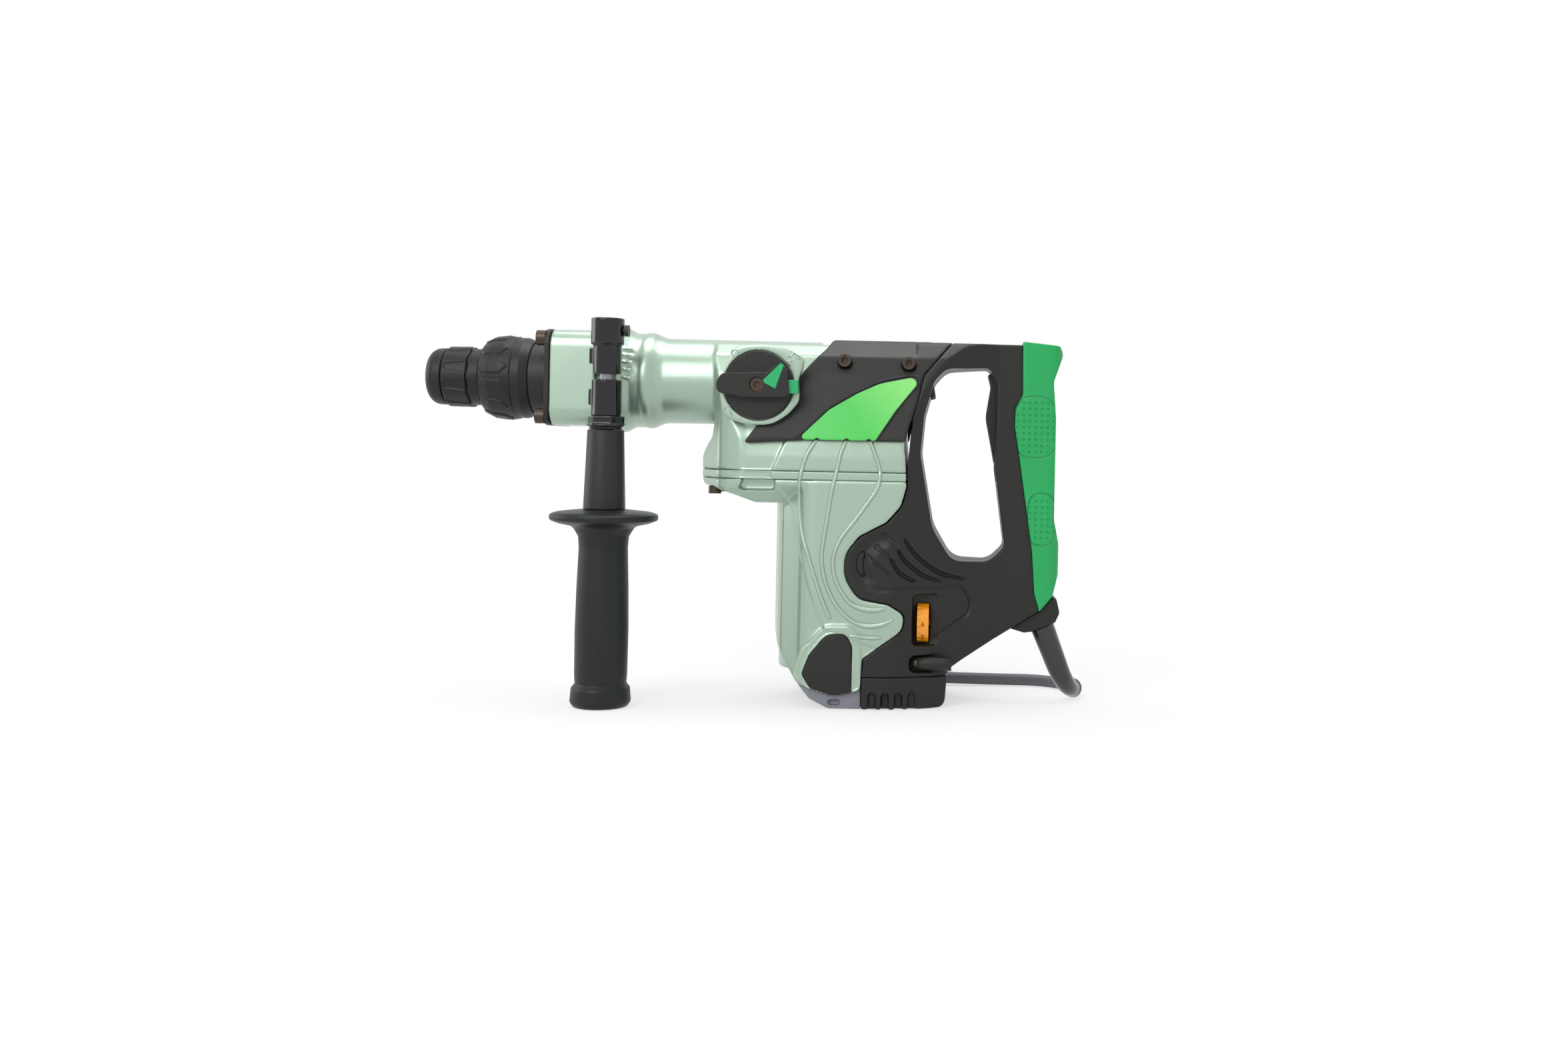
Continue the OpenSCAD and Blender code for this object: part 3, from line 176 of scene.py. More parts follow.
def lightRoom():
    # the floor keeps the shadow near the object and turns into the white background away from it
    floor = Finish("paleFloor")
    shade = room["floorShade"]
    plain = floor.node("ShaderNodeBsdfDiffuse", None, {"Color": (shade, shade, shade, 1)})
    glow = floor.node("ShaderNodeEmission", None, {"Color": (1, 1, 1, 1), "Strength": 1.0})
    place = floor.node("ShaderNodeVectorMath", {"operation": "DISTANCE"}, {
        0: floor.node("ShaderNodeNewGeometry"), 1: (0.26, 0.05, floorZ * mm)}, 1)
    away = (place * room["spread"] + room["near"]).math("MINIMUM", 1)
    floor.surface(floor.node("ShaderNodeMixShader", None, {0: seenDirectly(floor) * away, 1: plain, 2: glow}))
    half = room["floor"]
    ground = bpy.data.meshes.new("ground")
    z = floorZ * mm - 0.0004
    square = [(-half, -half, z), (half, -half, z), (half, half, z), (-half, half, z)]
    ground.from_pydata(square, [], [(0, 1, 2, 3)])
    ground.materials.append(floor.material)
    plane = bpy.data.objects.new("ground", ground)
    bpy.context.scene.collection.objects.link(plane)

    # white to the camera, and to the object a room that is brighter above than below
    world = bpy.data.worlds.new("studio")
    bpy.context.scene.world = world
    world.use_nodes = True
    sky = Finish("skyHelper")
    sky.tree = world.node_tree
    sky.tree.nodes.clear()
    height = sky.node("ShaderNodeSeparateXYZ", None, {"Vector": sky.node("ShaderNodeTexCoord")}, 2)
    upper = (height * 1.1 + 0.5).math("MINIMUM", 1).math("MAXIMUM", 0)
    low, high, white = [sky.node("ShaderNodeBackground", None, {"Color": (1, 1, 1, 1), "Strength": s})
                        for s in (room["dim"], room["bright"], 1.0)]
    ambient = sky.node("ShaderNodeMixShader", None, {0: upper, 1: low, 2: high})
    seen = sky.node("ShaderNodeMixShader", None, {0: seenDirectly(sky), 1: ambient, 2: white})
    out = sky.tree.nodes.new("ShaderNodeOutputWorld")
    sky.tree.links.new(seen.socket, out.inputs["Surface"])
    bpy.data.materials.remove(sky.material)

    for name, at, size, power in room["lamps"]:
        lamp = bpy.data.lights.new(name, "AREA")
        lamp.size = size
        lamp.energy = power
        stand = bpy.data.objects.new(name, lamp)
        stand.location = at
        aim = Vector((0.24, 0, -0.08)) - Vector(at)
        stand.rotation_euler = aim.to_track_quat("-Z", "Y").to_euler()
        bpy.context.scene.collection.objects.link(stand)


lightRoom()
print("camera, floor and light made")

# finishes
def spot(finish, axis):
    # a coordinate of the place in the frame, in metres
    return finish.node("ShaderNodeSeparateXYZ", None, {"Vector": finish.node("ShaderNodeTexCoord", out=3)},
                       axis)


def dimpled(finish, field):
    # height of a rounded field of small dimples with a line round it
    x = spot(finish, 0) * 1000 - (crankX + field["x"])
    z = spot(finish, 2) * 1000 - field["z"]
    acrossField, upField = (x / field["wide"]).math("ABSOLUTE", 0), (z / field["tall"]).math("ABSOLUTE", 0)
    oval = (acrossField ** 3 + upField ** 3) ** 0.333
    cell = field["pitch"]
    dx = (x / cell + 100.5).math("FRACT", 0) - 0.5
    dz = (z / cell + 100.5).math("FRACT", 0) - 0.5
    pit = (1 - (dx * dx + dz * dz) ** 0.5 / 0.22).math("MAXIMUM", 0).math("MINIMUM", 0.6)
    inside = ((0.9 - oval) * 30).math("MAXIMUM", 0).math("MINIMUM", 1)
    line = (1 - (oval - 1).math("ABSOLUTE", 0) * 22).math("MAXIMUM", 0)
    return 1 - pit * inside - line * 0.7


def moulded(name, colour, rough=0.5, grain=900, depth=0.15, shade=0.85, metal=0.0, coat=0.0, coatRough=0.15,
            edge=0.0006, shine=0.5, edgeWearAndHighlight=None, fade=None, dimples=None):
    finish = Finish(name)
    base = tint(colour)
    darker = tuple(c * shade for c in base[:3]) + (1,)
    cloud = finish.noise(35, 3)
    colourSignal = finish.mix(cloud, darker, base)
    if fade:
        # towards a second colour, along x and z
        way = spot(finish, 0) * fade[1] + spot(finish, 2) * fade[2] + fade[3]
        colourSignal = finish.mix(way.math("MAXIMUM", 0).math("MINIMUM", 1), colourSignal, tint(fade[0]))
    if edgeWearAndHighlight:
        # paler along the sharp edges: a painted edge highlight, together with rubbed wear
        rim = (finish.node("ShaderNodeNewGeometry", out=7) - 0.53) * 9 * finish.noise(120, 3)
        colourSignal = finish.mix(rim.math("MAXIMUM", 0).math("MINIMUM", 0.6), colourSignal, tint(edgeWearAndHighlight))
    speck = finish.noise(grain, 2)
    roughness = (cloud - 0.5) * 0.12 + rough
    rounded = finish.node("ShaderNodeBevel", {"samples": 4}, {"Radius": edge})
    bump = finish.node("ShaderNodeBump", None, {
        "Strength": depth, "Distance": 0.0004, "Height": speck, "Normal": rounded})
    for field in dimples or []:
        bump = finish.node("ShaderNodeBump", None, {
            "Strength": 0.9, "Distance": 0.0012, "Height": dimpled(finish, field), "Normal": bump})
    shader = finish.node("ShaderNodeBsdfPrincipled", None, {
        "Base Color": colourSignal, "Roughness": roughness, "Metallic": metal, "Coat Weight": coat,
        "Coat Roughness": coatRough, "Specular IOR Level": shine, "Normal": bump})
    finish.surface(shader)
    return finish.material


# the paler edge colours given to the black plastics and the silver paint are painted edge highlights,
# together with rubbed wear
finishes = {
    "rubber_black": moulded("satinRubber", "#1b1d20", rough=0.42, grain=1400, depth=0.12, shine=0.3,
                            edgeWearAndHighlight="#3a3c40"),
    "plastic_black": moulded("charcoalPlastic", "#232321", rough=0.4, grain=1500, depth=0.3, shine=0.3,
                             edgeWearAndHighlight="#42423e"),
    "plastic_gloss": moulded("glossPlastic", "#101113", rough=0.16, grain=300, depth=0.03, coat=0.5),
    "body_metal": moulded("silverGreenPaint", "#a3b8a7", rough=0.33, grain=2600, depth=0.1, shade=0.95,
                          metal=0.7, coat=0.35, edgeWearAndHighlight="#dfe9de"),
    "dark_chrome": moulded("blackNickel", "#2a2729", rough=0.12, grain=200, depth=0.02, metal=1.0, coat=0.6,
                           coatRough=0.04, edge=0.0012),
    "screw_steel": moulded("brownedSteel", "#4d423a", rough=0.38, grain=1200, depth=0.15, metal=0.8),
    "bright_steel": moulded("groundSteel", "#c9cacc", rough=0.24, grain=800, depth=0.05, metal=1.0),
    "gear_steel": moulded("hardSteel", "#8d9094", rough=0.33, grain=900, depth=0.08, metal=1.0),
    "zinc_steel": moulded("zincSteel", "#8b8d90", rough=0.3, grain=700, depth=0.06, metal=1.0),
    "grip_green": moulded("greenElastomer", "#12a557", rough=0.4, grain=1600, depth=0.1, shade=0.88, dimples=[
        {"x": 157, "z": -26, "wide": 14.4, "tall": 20, "pitch": 4.0},
        {"x": 162, "z": -86, "wide": 9.4, "tall": 17, "pitch": 4.0}]),
    "signal_green": moulded("signalGreen", "#1aa562", rough=0.3, grain=900, depth=0.05, shade=0.95),
    "badge_green": moulded("badgeGreen", "#35c143", rough=0.25, grain=500, depth=0.02, shade=0.95, coat=0.5,
                           fade=("#b2f592", 9.0, 6.0, -2.42)),
    "dial_orange": moulded("dialOrange", "#f39a12", rough=0.3, grain=900, depth=0.05, shade=0.9, coat=0.3),
    "vent_grey": moulded("lilacGreyPlastic", "#85868f", rough=0.42, grain=1200, depth=0.15, shade=0.85),
    "copper": moulded("copperWire", "#b87a45", rough=0.35, grain=2400, depth=0.4, metal=0.9),
    "iron": moulded("laminatedIron", "#5c5f63", rough=0.5, grain=1800, depth=0.3, metal=0.7),
    "carbon": moulded("pressedCarbon", "#1c1c1d", rough=0.6, grain=1500, depth=0.2),
    "board_green": moulded("pottedBoard", "#1e5a36", rough=0.4, grain=700, depth=0.1),
    "cord_grey": moulded("cordSheath", "#6b6d72", rough=0.5, grain=900, depth=0.1, shade=0.9),
}
slotOf = {part["node"]: part["material_slot"] for part in frame["record"]["subparts"]}


def dress(obj, slotName):
    obj.data.materials.clear()
    obj.data.materials.append(finishes[slotName])


for nodeName, nodeObject in frame["nodes"].items():
    dress(nodeObject, slotOf[nodeName])
print("finishes made:", len(finishes))

# cord
cordPlan = {"diameter": 8.0, "gland": (crankX + 164.7, -156.95), "tilt": 68, "bend": 20, "away": 17.5,
            "lift": 6.7, "turn": 34, "coilX": 291.5, "coilFront": 57.0, "rest": 1.4,
            "tailRadius": 34, "tailTurn": 110, "plugRise": 4.9}


def eased(t):
    k = min(max(t, 0), 1)
    return k * k * (3 - 2 * k)


def guardRoute(p):
    # straight down from the gland, then round to lie on the floor behind
    d = Vector((math.cos(math.radians(p["tilt"])), 0, -math.sin(math.radians(p["tilt"]))))
    away = math.radians(p["away"])
    h = Vector((math.sin(away), math.cos(away), 0))
    n = (h - h.dot(d) * d).normalized()
    whole = math.acos(d.dot(h))
    start = Vector((p["gland"][0], 0, p["gland"][1]))
    drop = p["bend"] * (math.sin(whole) * d.z + (1 - math.cos(whole)) * n.z)
    run = (floorZ + p["lift"] - drop - start.z) / d.z
    points = [start + d * run * i / 6 for i in range(6)]
    for i in range(13):
        t = whole * i / 12
        points.append(start + d * run + p["bend"] * (math.sin(t) * d + (1 - math.cos(t)) * n))
    return points, h


def cordRoute(p, start, h):
    # over the floor behind the motor, up through the coil and to the plug
    radius = p["diameter"] / 2
    step = p["diameter"] + 0.6
    outer = 5.05 * p["diameter"] + step
    centre = Vector((p["coilX"], p["coilFront"] + outer))
    low = floorZ + radius + p["rest"]
    turnAt = Vector((start.x - h.y * p["turn"], start.y + h.x * p["turn"]))
    away = p["away"]
    points = []
    for i in range(10):
        a = math.radians(-away + (90 + away) * i / 9)
        z = start.z + (floorZ + radius - start.z) * eased(i / 3)
        points.append((turnAt.x + p["turn"] * math.cos(a), turnAt.y + p["turn"] * math.sin(a), z))
    inX = centre.x + 10
    for i in range(1, 7):
        k = i / 6
        points.append((turnAt.x + (inX - turnAt.x) * k,
                       turnAt.y + p["turn"] + (p["coilFront"] - turnAt.y - p["turn"]) * eased(k),
                       floorZ + radius + p["rest"] * eased(k)))
    points.append((centre.x + 5, p["coilFront"], low))

    def level(s):
        return low + step * (sum(eased((s - at + 0.25) / 0.5) for at in (2, 4, 6)) + eased((s - 7.7) / 0.4))

    for i in range(192):
        s = i / 24
        a = math.radians(-90 - 360 * s)
        m = s % 4
        r = outer - step * (m if m < 2 else 4 - m)
        points.append((centre.x + r * math.cos(a), centre.y + r * math.sin(a), level(s)))
    tail = p["tailRadius"]
    for i in range(11):
        a = p["tailTurn"] * i / 10
        l = math.radians(a) * tail
        points.append((centre.x + tail * math.cos(math.radians(-90 - a)),
                       centre.y - outer + tail + tail * math.sin(math.radians(-90 - a)),
                       level(8 + l / (2 * math.pi * outer)) + p["plugRise"] * eased((l - 8) / 52)))
    last = Vector(points[-1])
    heading = Vector((math.cos(math.radians(180 - p["tailTurn"])),
                      math.sin(math.radians(180 - p["tailTurn"])), 0))
    points.append(tuple(last + 9 * heading))
    return [Vector(q) for q in points]


def smoothLine(points, per=4):
    # a curve through the points, in short steps
    out = []
    n = len(points)
    for i in range(n - 1):
        a, b, c, d = points[max(i - 1, 0)], points[i], points[i + 1], points[min(i + 2, n - 1)]
        for k in range(per):
            t = k / per
            out.append(0.5 * ((2 * b) + (c - a) * t + (2 * a - 5 * b + 4 * c - d) * t * t
                              + (3 * b - a - 3 * c + d) * t ** 3))
    out.append(points[-1])
    return out


def makeCord():
    guardPoints, heading = guardRoute(cordPlan)
    line = smoothLine(cordRoute(cordPlan, guardPoints[-1], heading), 3)
    curve = bpy.data.curves.new("mainsCord", "CURVE")
    curve.dimensions = "3D"
    spline = curve.splines.new("POLY")
    spline.points.add(len(line) - 1)
    for point, at in zip(spline.points, line):
        point.co = (*(at * mm), 1)
    curve.bevel_depth = cordPlan["diameter"] / 2 * mm
    curve.bevel_resolution = 4
    curve.use_fill_caps = True
    cord = bpy.data.objects.new("mainsCord", curve)
    bpy.context.scene.collection.objects.link(cord)
    dress(cord, "cord_grey")
    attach(cord, "body")
    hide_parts("cord_lead", "cord_coil")
    length = sum((b - a).length for a, b in zip(line, line[1:])) * mm
    print("cord length", round(length, 3))
    return cord, line, length, guardPoints


mainsCord, cordLine, cordLength, guardPoints = makeCord()

# making and shaping meshes
def place(name, mesh, body, slotName, *replaced):
    obj = bpy.data.objects.new(name, mesh)
    bpy.context.scene.collection.objects.link(obj)
    dress(obj, slotName)
    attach(obj, body)
    if replaced:
        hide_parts(*replaced)
    return obj


def applied(mesh, *modifiers):
    # the mesh with modifiers worked in, each given as its type and its settings
    obj = bpy.data.objects.new("bench", mesh)
    bpy.context.scene.collection.objects.link(obj)
    for kind, settings in modifiers:
        modifier = obj.modifiers.new(kind, kind)
        for key, value in settings.items():
            setattr(modifier, key, value)
    depsgraph = bpy.context.evaluated_depsgraph_get()
    result = bpy.data.meshes.new_from_object(obj.evaluated_get(depsgraph))
    bpy.data.objects.remove(obj)
    bpy.data.meshes.remove(mesh)
    return result


def closedMesh(name, points, faces):
    # a smooth mesh with its faces all turned outwards
    mesh = bpy.data.meshes.new(name)
    mesh.from_pydata(points, [], faces)
    work = bmesh.new()
    work.from_mesh(mesh)
    bmesh.ops.recalc_face_normals(work, faces=work.faces)
    work.to_mesh(mesh)
    work.free()
    mesh.shade_smooth()
    return mesh


def joined(nodes):
    work = bmesh.new()
    for node in nodes:
        work.from_mesh(frame["nodes"][node].data)
    bmesh.ops.remove_doubles(work, verts=work.verts, dist=1e-6)
    mesh = bpy.data.meshes.new("joined")
    work.to_mesh(mesh)
    work.free()
    return mesh


def corners(mesh):
    # places in millimetres and normals of the mesh's points
    at = np.empty(len(mesh.vertices) * 3)
    mesh.vertices.foreach_get("co", at)
    facing = np.empty(len(mesh.vertices) * 3)
    mesh.vertex_normals.foreach_get("vector", facing)
    return at.reshape(-1, 3) / mm, facing.reshape(-1, 3)


def carved(mesh, carve):
    # every point moves along its normal by what carve gives, in millimetres
    at, facing = corners(mesh)
    shifted = at + facing * carve(at, facing)[:, None]
    mesh.vertices.foreach_set("co", (shifted * mm).ravel())
    mesh.update()
    return mesh


def cast(name, nodes, body, slotName, voxel=0.9, rounds=6, carve=None, keep=0.3, after=1):
    # the solids of some nodes with the soft edges of a casting, and their finer relief
    mesh = applied(joined(nodes), ("REMESH", {"mode": "VOXEL", "voxel_size": voxel * mm}),
                   ("SMOOTH", {"factor": 0.5, "iterations": rounds}))
    if carve:
        mesh = carved(mesh, carve)
        mesh = applied(mesh, ("SMOOTH", {"factor": 0.5, "iterations": after}))
    mesh = applied(mesh, ("DECIMATE", {"ratio": keep}))
    mesh.shade_smooth()
    print("cast", name, len(mesh.polygons))
    return place(name, mesh, body, slotName, *nodes)


def lineDistance(x, z, line):
    # how far points are from a line of points, and how far along it the nearest place is, from 0 to 1
    best = np.full(len(x), 1e9)
    along = np.zeros(len(x))
    for i in range(len(line) - 1):
        ax, az = line[i]
        bx, bz = line[i + 1]
        dx, dz = bx - ax, bz - az
        t = np.clip(((x - ax) * dx + (z - az) * dz) / (dx * dx + dz * dz), 0, 1)
        d = np.hypot(x - ax - t * dx, z - az - t * dz)
        closer = d < best
        best = np.where(closer, d, best)
        along = np.where(closer, (i + t) / (len(line) - 1), along)
    return best, along


def flowing(points, per=6):
    return [(q.x, q.y) for q in smoothLine([Vector(p) for p in points], per)]


def within(x, z, outline):
    inside = np.zeros(len(x), bool)
    n = len(outline)
    for i in range(n):
        (ax, az), (bx, bz) = outline[i], outline[(i + 1) % n]
        if az == bz:
            continue
        crosses = (az > z) != (bz > z)
        inside ^= crosses & (x < (bx - ax) * (z - az) / (bz - az) + ax)
    return inside


def ridge(distance, half):
    # 1 on the line, falling smoothly to 0 at half
    return np.where(distance < half, 0.5 + 0.5 * np.cos(np.pi * np.minimum(distance / half, 1)), 0)


def shelf(x, z, outline, soft):
    # 1 inside an outline, with a soft edge of that width
    d, _ = lineDistance(x, z, outline + outline[:1])
    signed = np.where(within(x, z, outline), d, -d)
    k = np.clip(signed / soft + 0.5, 0, 1)
    return k * k * (3 - 2 * k)


def moved(points, dx=0.0, dz=0.0):
    return [(x + dx, z + dz) for x, z in points]

# chuck, turned with its relief
chuck = {"nose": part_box("nose_cap")[1].x / mm, "noseR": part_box("nose_cap")[1].z / mm,
         "ring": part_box("front_ring")[1].x / mm, "ringR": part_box("front_ring")[1].y / mm,
         "sleeve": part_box("locking_sleeve")[0].x / mm, "sleeveEnd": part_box("locking_sleeve")[1].x / mm,
         "seat": 15.95, "inner": 13.95, "ribs": 10, "pads": 12, "padTurn": 15, "padRadius": 27}


def roundedLine(points, steps=5):
    # (x, r, radius) corners of a closed line, each corner drawn as an arc
    out = []
    n = len(points)
    for i in range(n):
        p, before, after = points[i], points[i - 1], points[(i + 1) % n]
        q = Vector(p[:2])
        if p[2] == 0:
            out.append(q)
            continue
        u = (Vector(before[:2]) - q).normalized()
        v = (Vector(after[:2]) - q).normalized()
        half = math.acos(max(-1, min(1, u.dot(v)))) / 2
        c = q + (u + v).normalized() * p[2] / math.sin(half)
        s = q + u * p[2] / math.tan(half) - c
        e = q + v * p[2] / math.tan(half) - c
        turn = math.pi - 2 * half
        for k in range(steps + 1):
            first, second = math.sin(turn * (1 - k / steps)), math.sin(turn * k / steps)
            out.append(c + (s * first + e * second) / math.sin(turn))
    return out


def lathe(name, profile, body, slotName, replaced, steps=120, pitch=40.0, relief=None, axis="X",
          centre=(0, 0)):
    # a closed line of (x, r) turned round the spindle's line, or round an upright line through centre
    line = []
    for a, b in zip(profile, profile[1:] + profile[:1]):
        parts = max(1, int((b - a).length / pitch))
        line += [a + (b - a) * k / parts for k in range(parts)]
    count = len(line)
    x = np.repeat([p[0] for p in line], steps)
    r = np.repeat([p[1] for p in line], steps)
    angle = np.tile(np.arange(steps) * 2 * np.pi / steps, count)
    if relief:
        r = r + relief(x, r, angle)
    across, up = r * np.cos(angle), r * np.sin(angle)
    if axis == "X":
        at = np.stack([x, up, across], 1)
    elif axis == "Y":
        at = np.stack([centre[0] + across, x, centre[1] + up], 1)
    else:
        at = np.stack([centre[0] + across, centre[1] + up, x], 1)
    faces = []
    for i in range(count):
        j = (i + 1) % count
        for k in range(steps):
            m = (k + 1) % steps
            faces.append((i * steps + k, i * steps + m, j * steps + m, j * steps + k))
    mesh = closedMesh(name, (at * mm).tolist(), faces)
    mesh.set_sharp_from_angle(angle=math.radians(40))
    return place(name, mesh, body, slotName, *replaced)


def around(angle, count, offset=0.0):
    # the signed angle to the nearest of count places round a circle
    gap = 2 * np.pi / count
    return (angle - offset + gap / 2) % gap - gap / 2


def ringRelief(x, r, angle):
    start = chuck["nose"]
    u = x - start
    s = around(angle, chuck["ribs"]) * chuck["ringR"]
    outer = r > chuck["noseR"] - 0.3
    outline = [(2.0, -1.4), (3.2, -2.3), (17.4, -3.6), (17.4, 3.6), (3.2, 2.3), (2.0, 1.4)]
    pocket = shelf(u, s, outline, 0.9)
    return -0.9 * pocket * outer


def sleeveRelief(x, r, angle):
    u = x - chuck["sleeve"]
    s = around(angle, chuck["pads"], math.radians(chuck["padTurn"])) * chuck["padRadius"]
    outer = r > 20.4
    pad = [(0.8, 0.6), (4.6, -5.0), (16.4, -5.6), (21.4, -1.0), (17.6, 4.6), (4.2, 5.8)]
    raised = shelf(u, s, pad, 0.9)
    edge, _ = lineDistance(u, s, pad + pad[:1])
    waist = np.where(u < 22.5, 1.0, 0.0)
    return outer * (0.85 * raised - 0.35 * ridge(edge, 0.9) * waist - 0.1 * waist)


def makeChuck():
    nose, ring, noseR, ringR = chuck["nose"], chuck["ring"], chuck["noseR"], chuck["ringR"]
    seat, inner = chuck["seat"], chuck["inner"]
    lathe("noseCap", roundedLine([
        (0, 10.5, 0.6), (0, noseR - 0.4, 7.2), (nose - 0.8, noseR, 0.4), (nose - 0.1, noseR - 0.9, 0.3),
        (nose - 0.1, inner, 0), (2.4, inner, 0), (2.4, 10.5, 0)], steps=7),
        "spindle", "rubber_black", ["nose_cap"])
    groove = nose + 17
    lathe("gripRing", roundedLine([
        (nose, noseR - 0.6, 0.3), (nose + 1.8, ringR - 0.35, 1.2), (groove - 0.6, ringR, 0.5),
        (groove, noseR - 0.1, 0.3), (ring, noseR - 0.1, 0), (ring, seat, 0), (groove, seat, 0),
        (groove, inner, 0), (nose, inner, 0)], steps=4),
        "spindle", "rubber_black", ["front_ring"], steps=240, pitch=0.55, relief=ringRelief)
    a, b = chuck["sleeve"], chuck["sleeveEnd"]
    recess = b - 16
    lathe("lockSleeve", roundedLine([
        (a, 16.1, 0), (a, 20.0, 0.4), (a + 2, 23.2, 2), (a + 8.5, 26.3, 4), (a + 17, 27.3, 10),
        (a + 22.6, 27.2, 0.5), (a + 23.4, 26.5, 0.3), (a + 28.5, 26.6, 3), (b - 0.2, 24.6, 0.4),
        (b, 24.1, 0), (recess, 24.1, 0), (recess, 21, 0), (recess - 9, 21, 0), (recess - 9, 16.1, 0)],
        steps=4),
        "sleeve", "rubber_black", ["locking_sleeve"], steps=300, pitch=0.55, relief=sleeveRelief)


makeChuck()

# silver castings
silver = {"panelEdge": [(-2.5, -36.5), (-4.5, -40.7), (-8.2, -49.4), (-11.8, -59.1), (-9.8, -63.9),
                        (-3.9, -72.4), (0.1, -80), (2.2, -86.6), (4.4, -99.1), (8.5, -113.4), (12.6, -127.7),
                        (17.7, -142), (24, -156)],
          "panelRise": 1.2, "panelSoft": 1.6}


def sideOnly(facing, low=0.45, high=0.85):
    # 1 on surfaces that face sideways, 0 on those that face up, down, forward or back
    return np.clip((np.abs(facing[:, 1]) - low) / (high - low), 0, 1)


def silverRelief(at, facing):
    x, z = at[:, 0] - crankX, at[:, 2]
    outline = flowing(silver["panelEdge"]) + [(90, -180), (90, -30)]
    outer = (np.abs(at[:, 1]) > 26) * sideOnly(facing) * np.clip((x + 40) / 12, 0, 1)
    return (shelf(x, z, outline, silver["panelSoft"]) - 1) * silver["panelRise"] * outer


cast("crankCase", ["gear_housing"], "body", "body_metal", voxel=0.9, rounds=6, carve=silverRelief, keep=0.25)
cast("middlePlate", ["intermediate_plate"], "body", "body_metal", voxel=0.7, rounds=2, carve=silverRelief,
     keep=0.2)
cast("motorCase", ["motor_housing"], "body", "body_metal", voxel=0.9, rounds=5, carve=silverRelief, keep=0.25)

# raised ribs that run over the silver panel
ribs = {"radius": 1.35, "proud": 0.75,
        "lines": [[(17.3, -35.6), (11.1, -46.1), (7.5, -57.7), (6.3, -67.3), (6.6, -79.7), (8.3, -94.1),
                   (12.4, -108.4), (17.6, -124.5), (22.7, -138.8), (27.7, -150)],
                  [(36, -35.2), (32.2, -45.7), (29.6, -58.2), (27, -69.7), (24.9, -84.1), (22.8, -98.6),
                   (21.6, -110.1), (22.7, -120.6), (26.3, -132), (32.3, -142.4), (40.1, -149.9),
                   (48.8, -153.6), (58.4, -153.4), (68, -149.8)],
                  [(50, -35), (53.2, -43.3), (56.8, -53.8), (57.4, -59.5), (55.6, -67.2), (50.1, -76),
                   (42.6, -86.7), (35.2, -96.4), (30.6, -105.1), (28.8, -113.8), (30, -123.3), (34, -131.8),
                   (39.9, -139.4), (47.6, -143), (56.3, -143.8), (63.5, -142.4)],
                  [(40, -160), (47.1, -160.8), (54, -161.4), (61, -161)]]}


def surfaceTree(names):
    # what a line that is laid on some pieces touches
    points, faces = [], []
    for name in names:
        mesh = bpy.data.objects[name].data
        first = len(points)
        points += [v.co.copy() for v in mesh.vertices]
        faces += [[first + i for i in p.vertices] for p in mesh.polygons]
    return BVHTree.FromPolygons(points, faces)


def tubeMesh(name, lines, radii, sides=10):
    # round bars along lines of points, in millimetres, with a radius at each point and rounded ends
    at, faces = [], []
    for line, radius in zip(lines, radii):
        first = len(at)
        n = len(line)
        for i in range(n):
            t = (line[min(i + 1, n - 1)] - line[max(i - 1, 0)]).normalized()
            u = t.cross(Vector((0.31, 0.8, 0.51))).normalized()
            v = t.cross(u)
            for k in range(sides):
                a = 2 * math.pi * k / sides
                at.append(line[i] + radius[i] * (u * math.cos(a) + v * math.sin(a)))
        for i in range(n - 1):
            for k in range(sides):
                m = (k + 1) % sides
                faces.append((first + i * sides + k, first + i * sides + m, first + (i + 1) * sides + m,
                              first + (i + 1) * sides + k))
        faces.append([first + k for k in range(sides)][::-1])
        faces.append([first + (n - 1) * sides + k for k in range(sides)])
    return closedMesh(name, [tuple(p * mm) for p in at], faces)


def laid(tree, line, side, lift=0.0):
    # a line of (x, z) from the crank's axis, laid on the pieces of a tree from one side
    out = []
    for x, z in line:
        start = Vector(((x + crankX) * mm, side * 0.09, z * mm))
        hit = tree.ray_cast(start, Vector((0, -side, 0)))[0]
        if hit:
            out.append(Vector((hit.x / mm, hit.y / mm + side * lift, hit.z / mm)))
    # the height is evened out so that small steps don't show
    ys = [p.y for p in out]
    for i in range(len(out)):
        near = ys[max(i - 2, 0):i + 3]
        out[i].y = side * max(abs(sum(near) / len(near)), abs(ys[i]) - 0.2)
    return out


def makeRibs():
    tree = surfaceTree(["crankCase", "middlePlate", "motorCase"])
    lines, radii = [], []
    for side in (-1, 1):
        for number, points in enumerate(ribs["lines"]):
            line = laid(tree, flowing(points, 8), side, ribs["proud"] - ribs["radius"] * 0.5)
            n = len(line)
            lines.append(line)
            leaf = 0.35 if number else 0
            taper = 7 if number else 3
            radii.append([ribs["radius"] * (1 + leaf * math.exp(-((i / n - 0.88) / 0.07) ** 2))
                          * min(1, (n - i) / taper) ** 0.7
                          * (1 if number < 3 else min(1, (i + 1) / 8) ** 0.7)
                          for i in range(n)])
    place("panelRibs", tubeMesh("panelRibs", lines, radii), "body", "body_metal")


makeRibs()
print("silver castings and ribs made")

# black shells
shell = {"slits": [[(73.5, -98.5), (79.4, -106.9), (87.3, -114.4), (97.9, -120.9), (113.3, -125.4)],
                   [(69.4, -105.2), (73.8, -111.9), (79.7, -117.5), (87.4, -122.6), (98, -126.2)],
                   [(65.6, -111.1), (69.1, -117.7), (74, -122.4), (82.7, -126.5)]],
         "tear": [(50.5, -128.2), (57.9, -130.9), (70, -130.9), (90, -130.4), (108.7, -129.8), (113.5, -133),
                  (116.5, -139.7), (115.7, -145.5), (112.9, -149.3), (103, -155.6), (92.1, -162.7)],
         "hollow": [(66, -96), (56, -100.5), (49, -107), (46.5, -115), (49, -123), (56, -128.5)]}


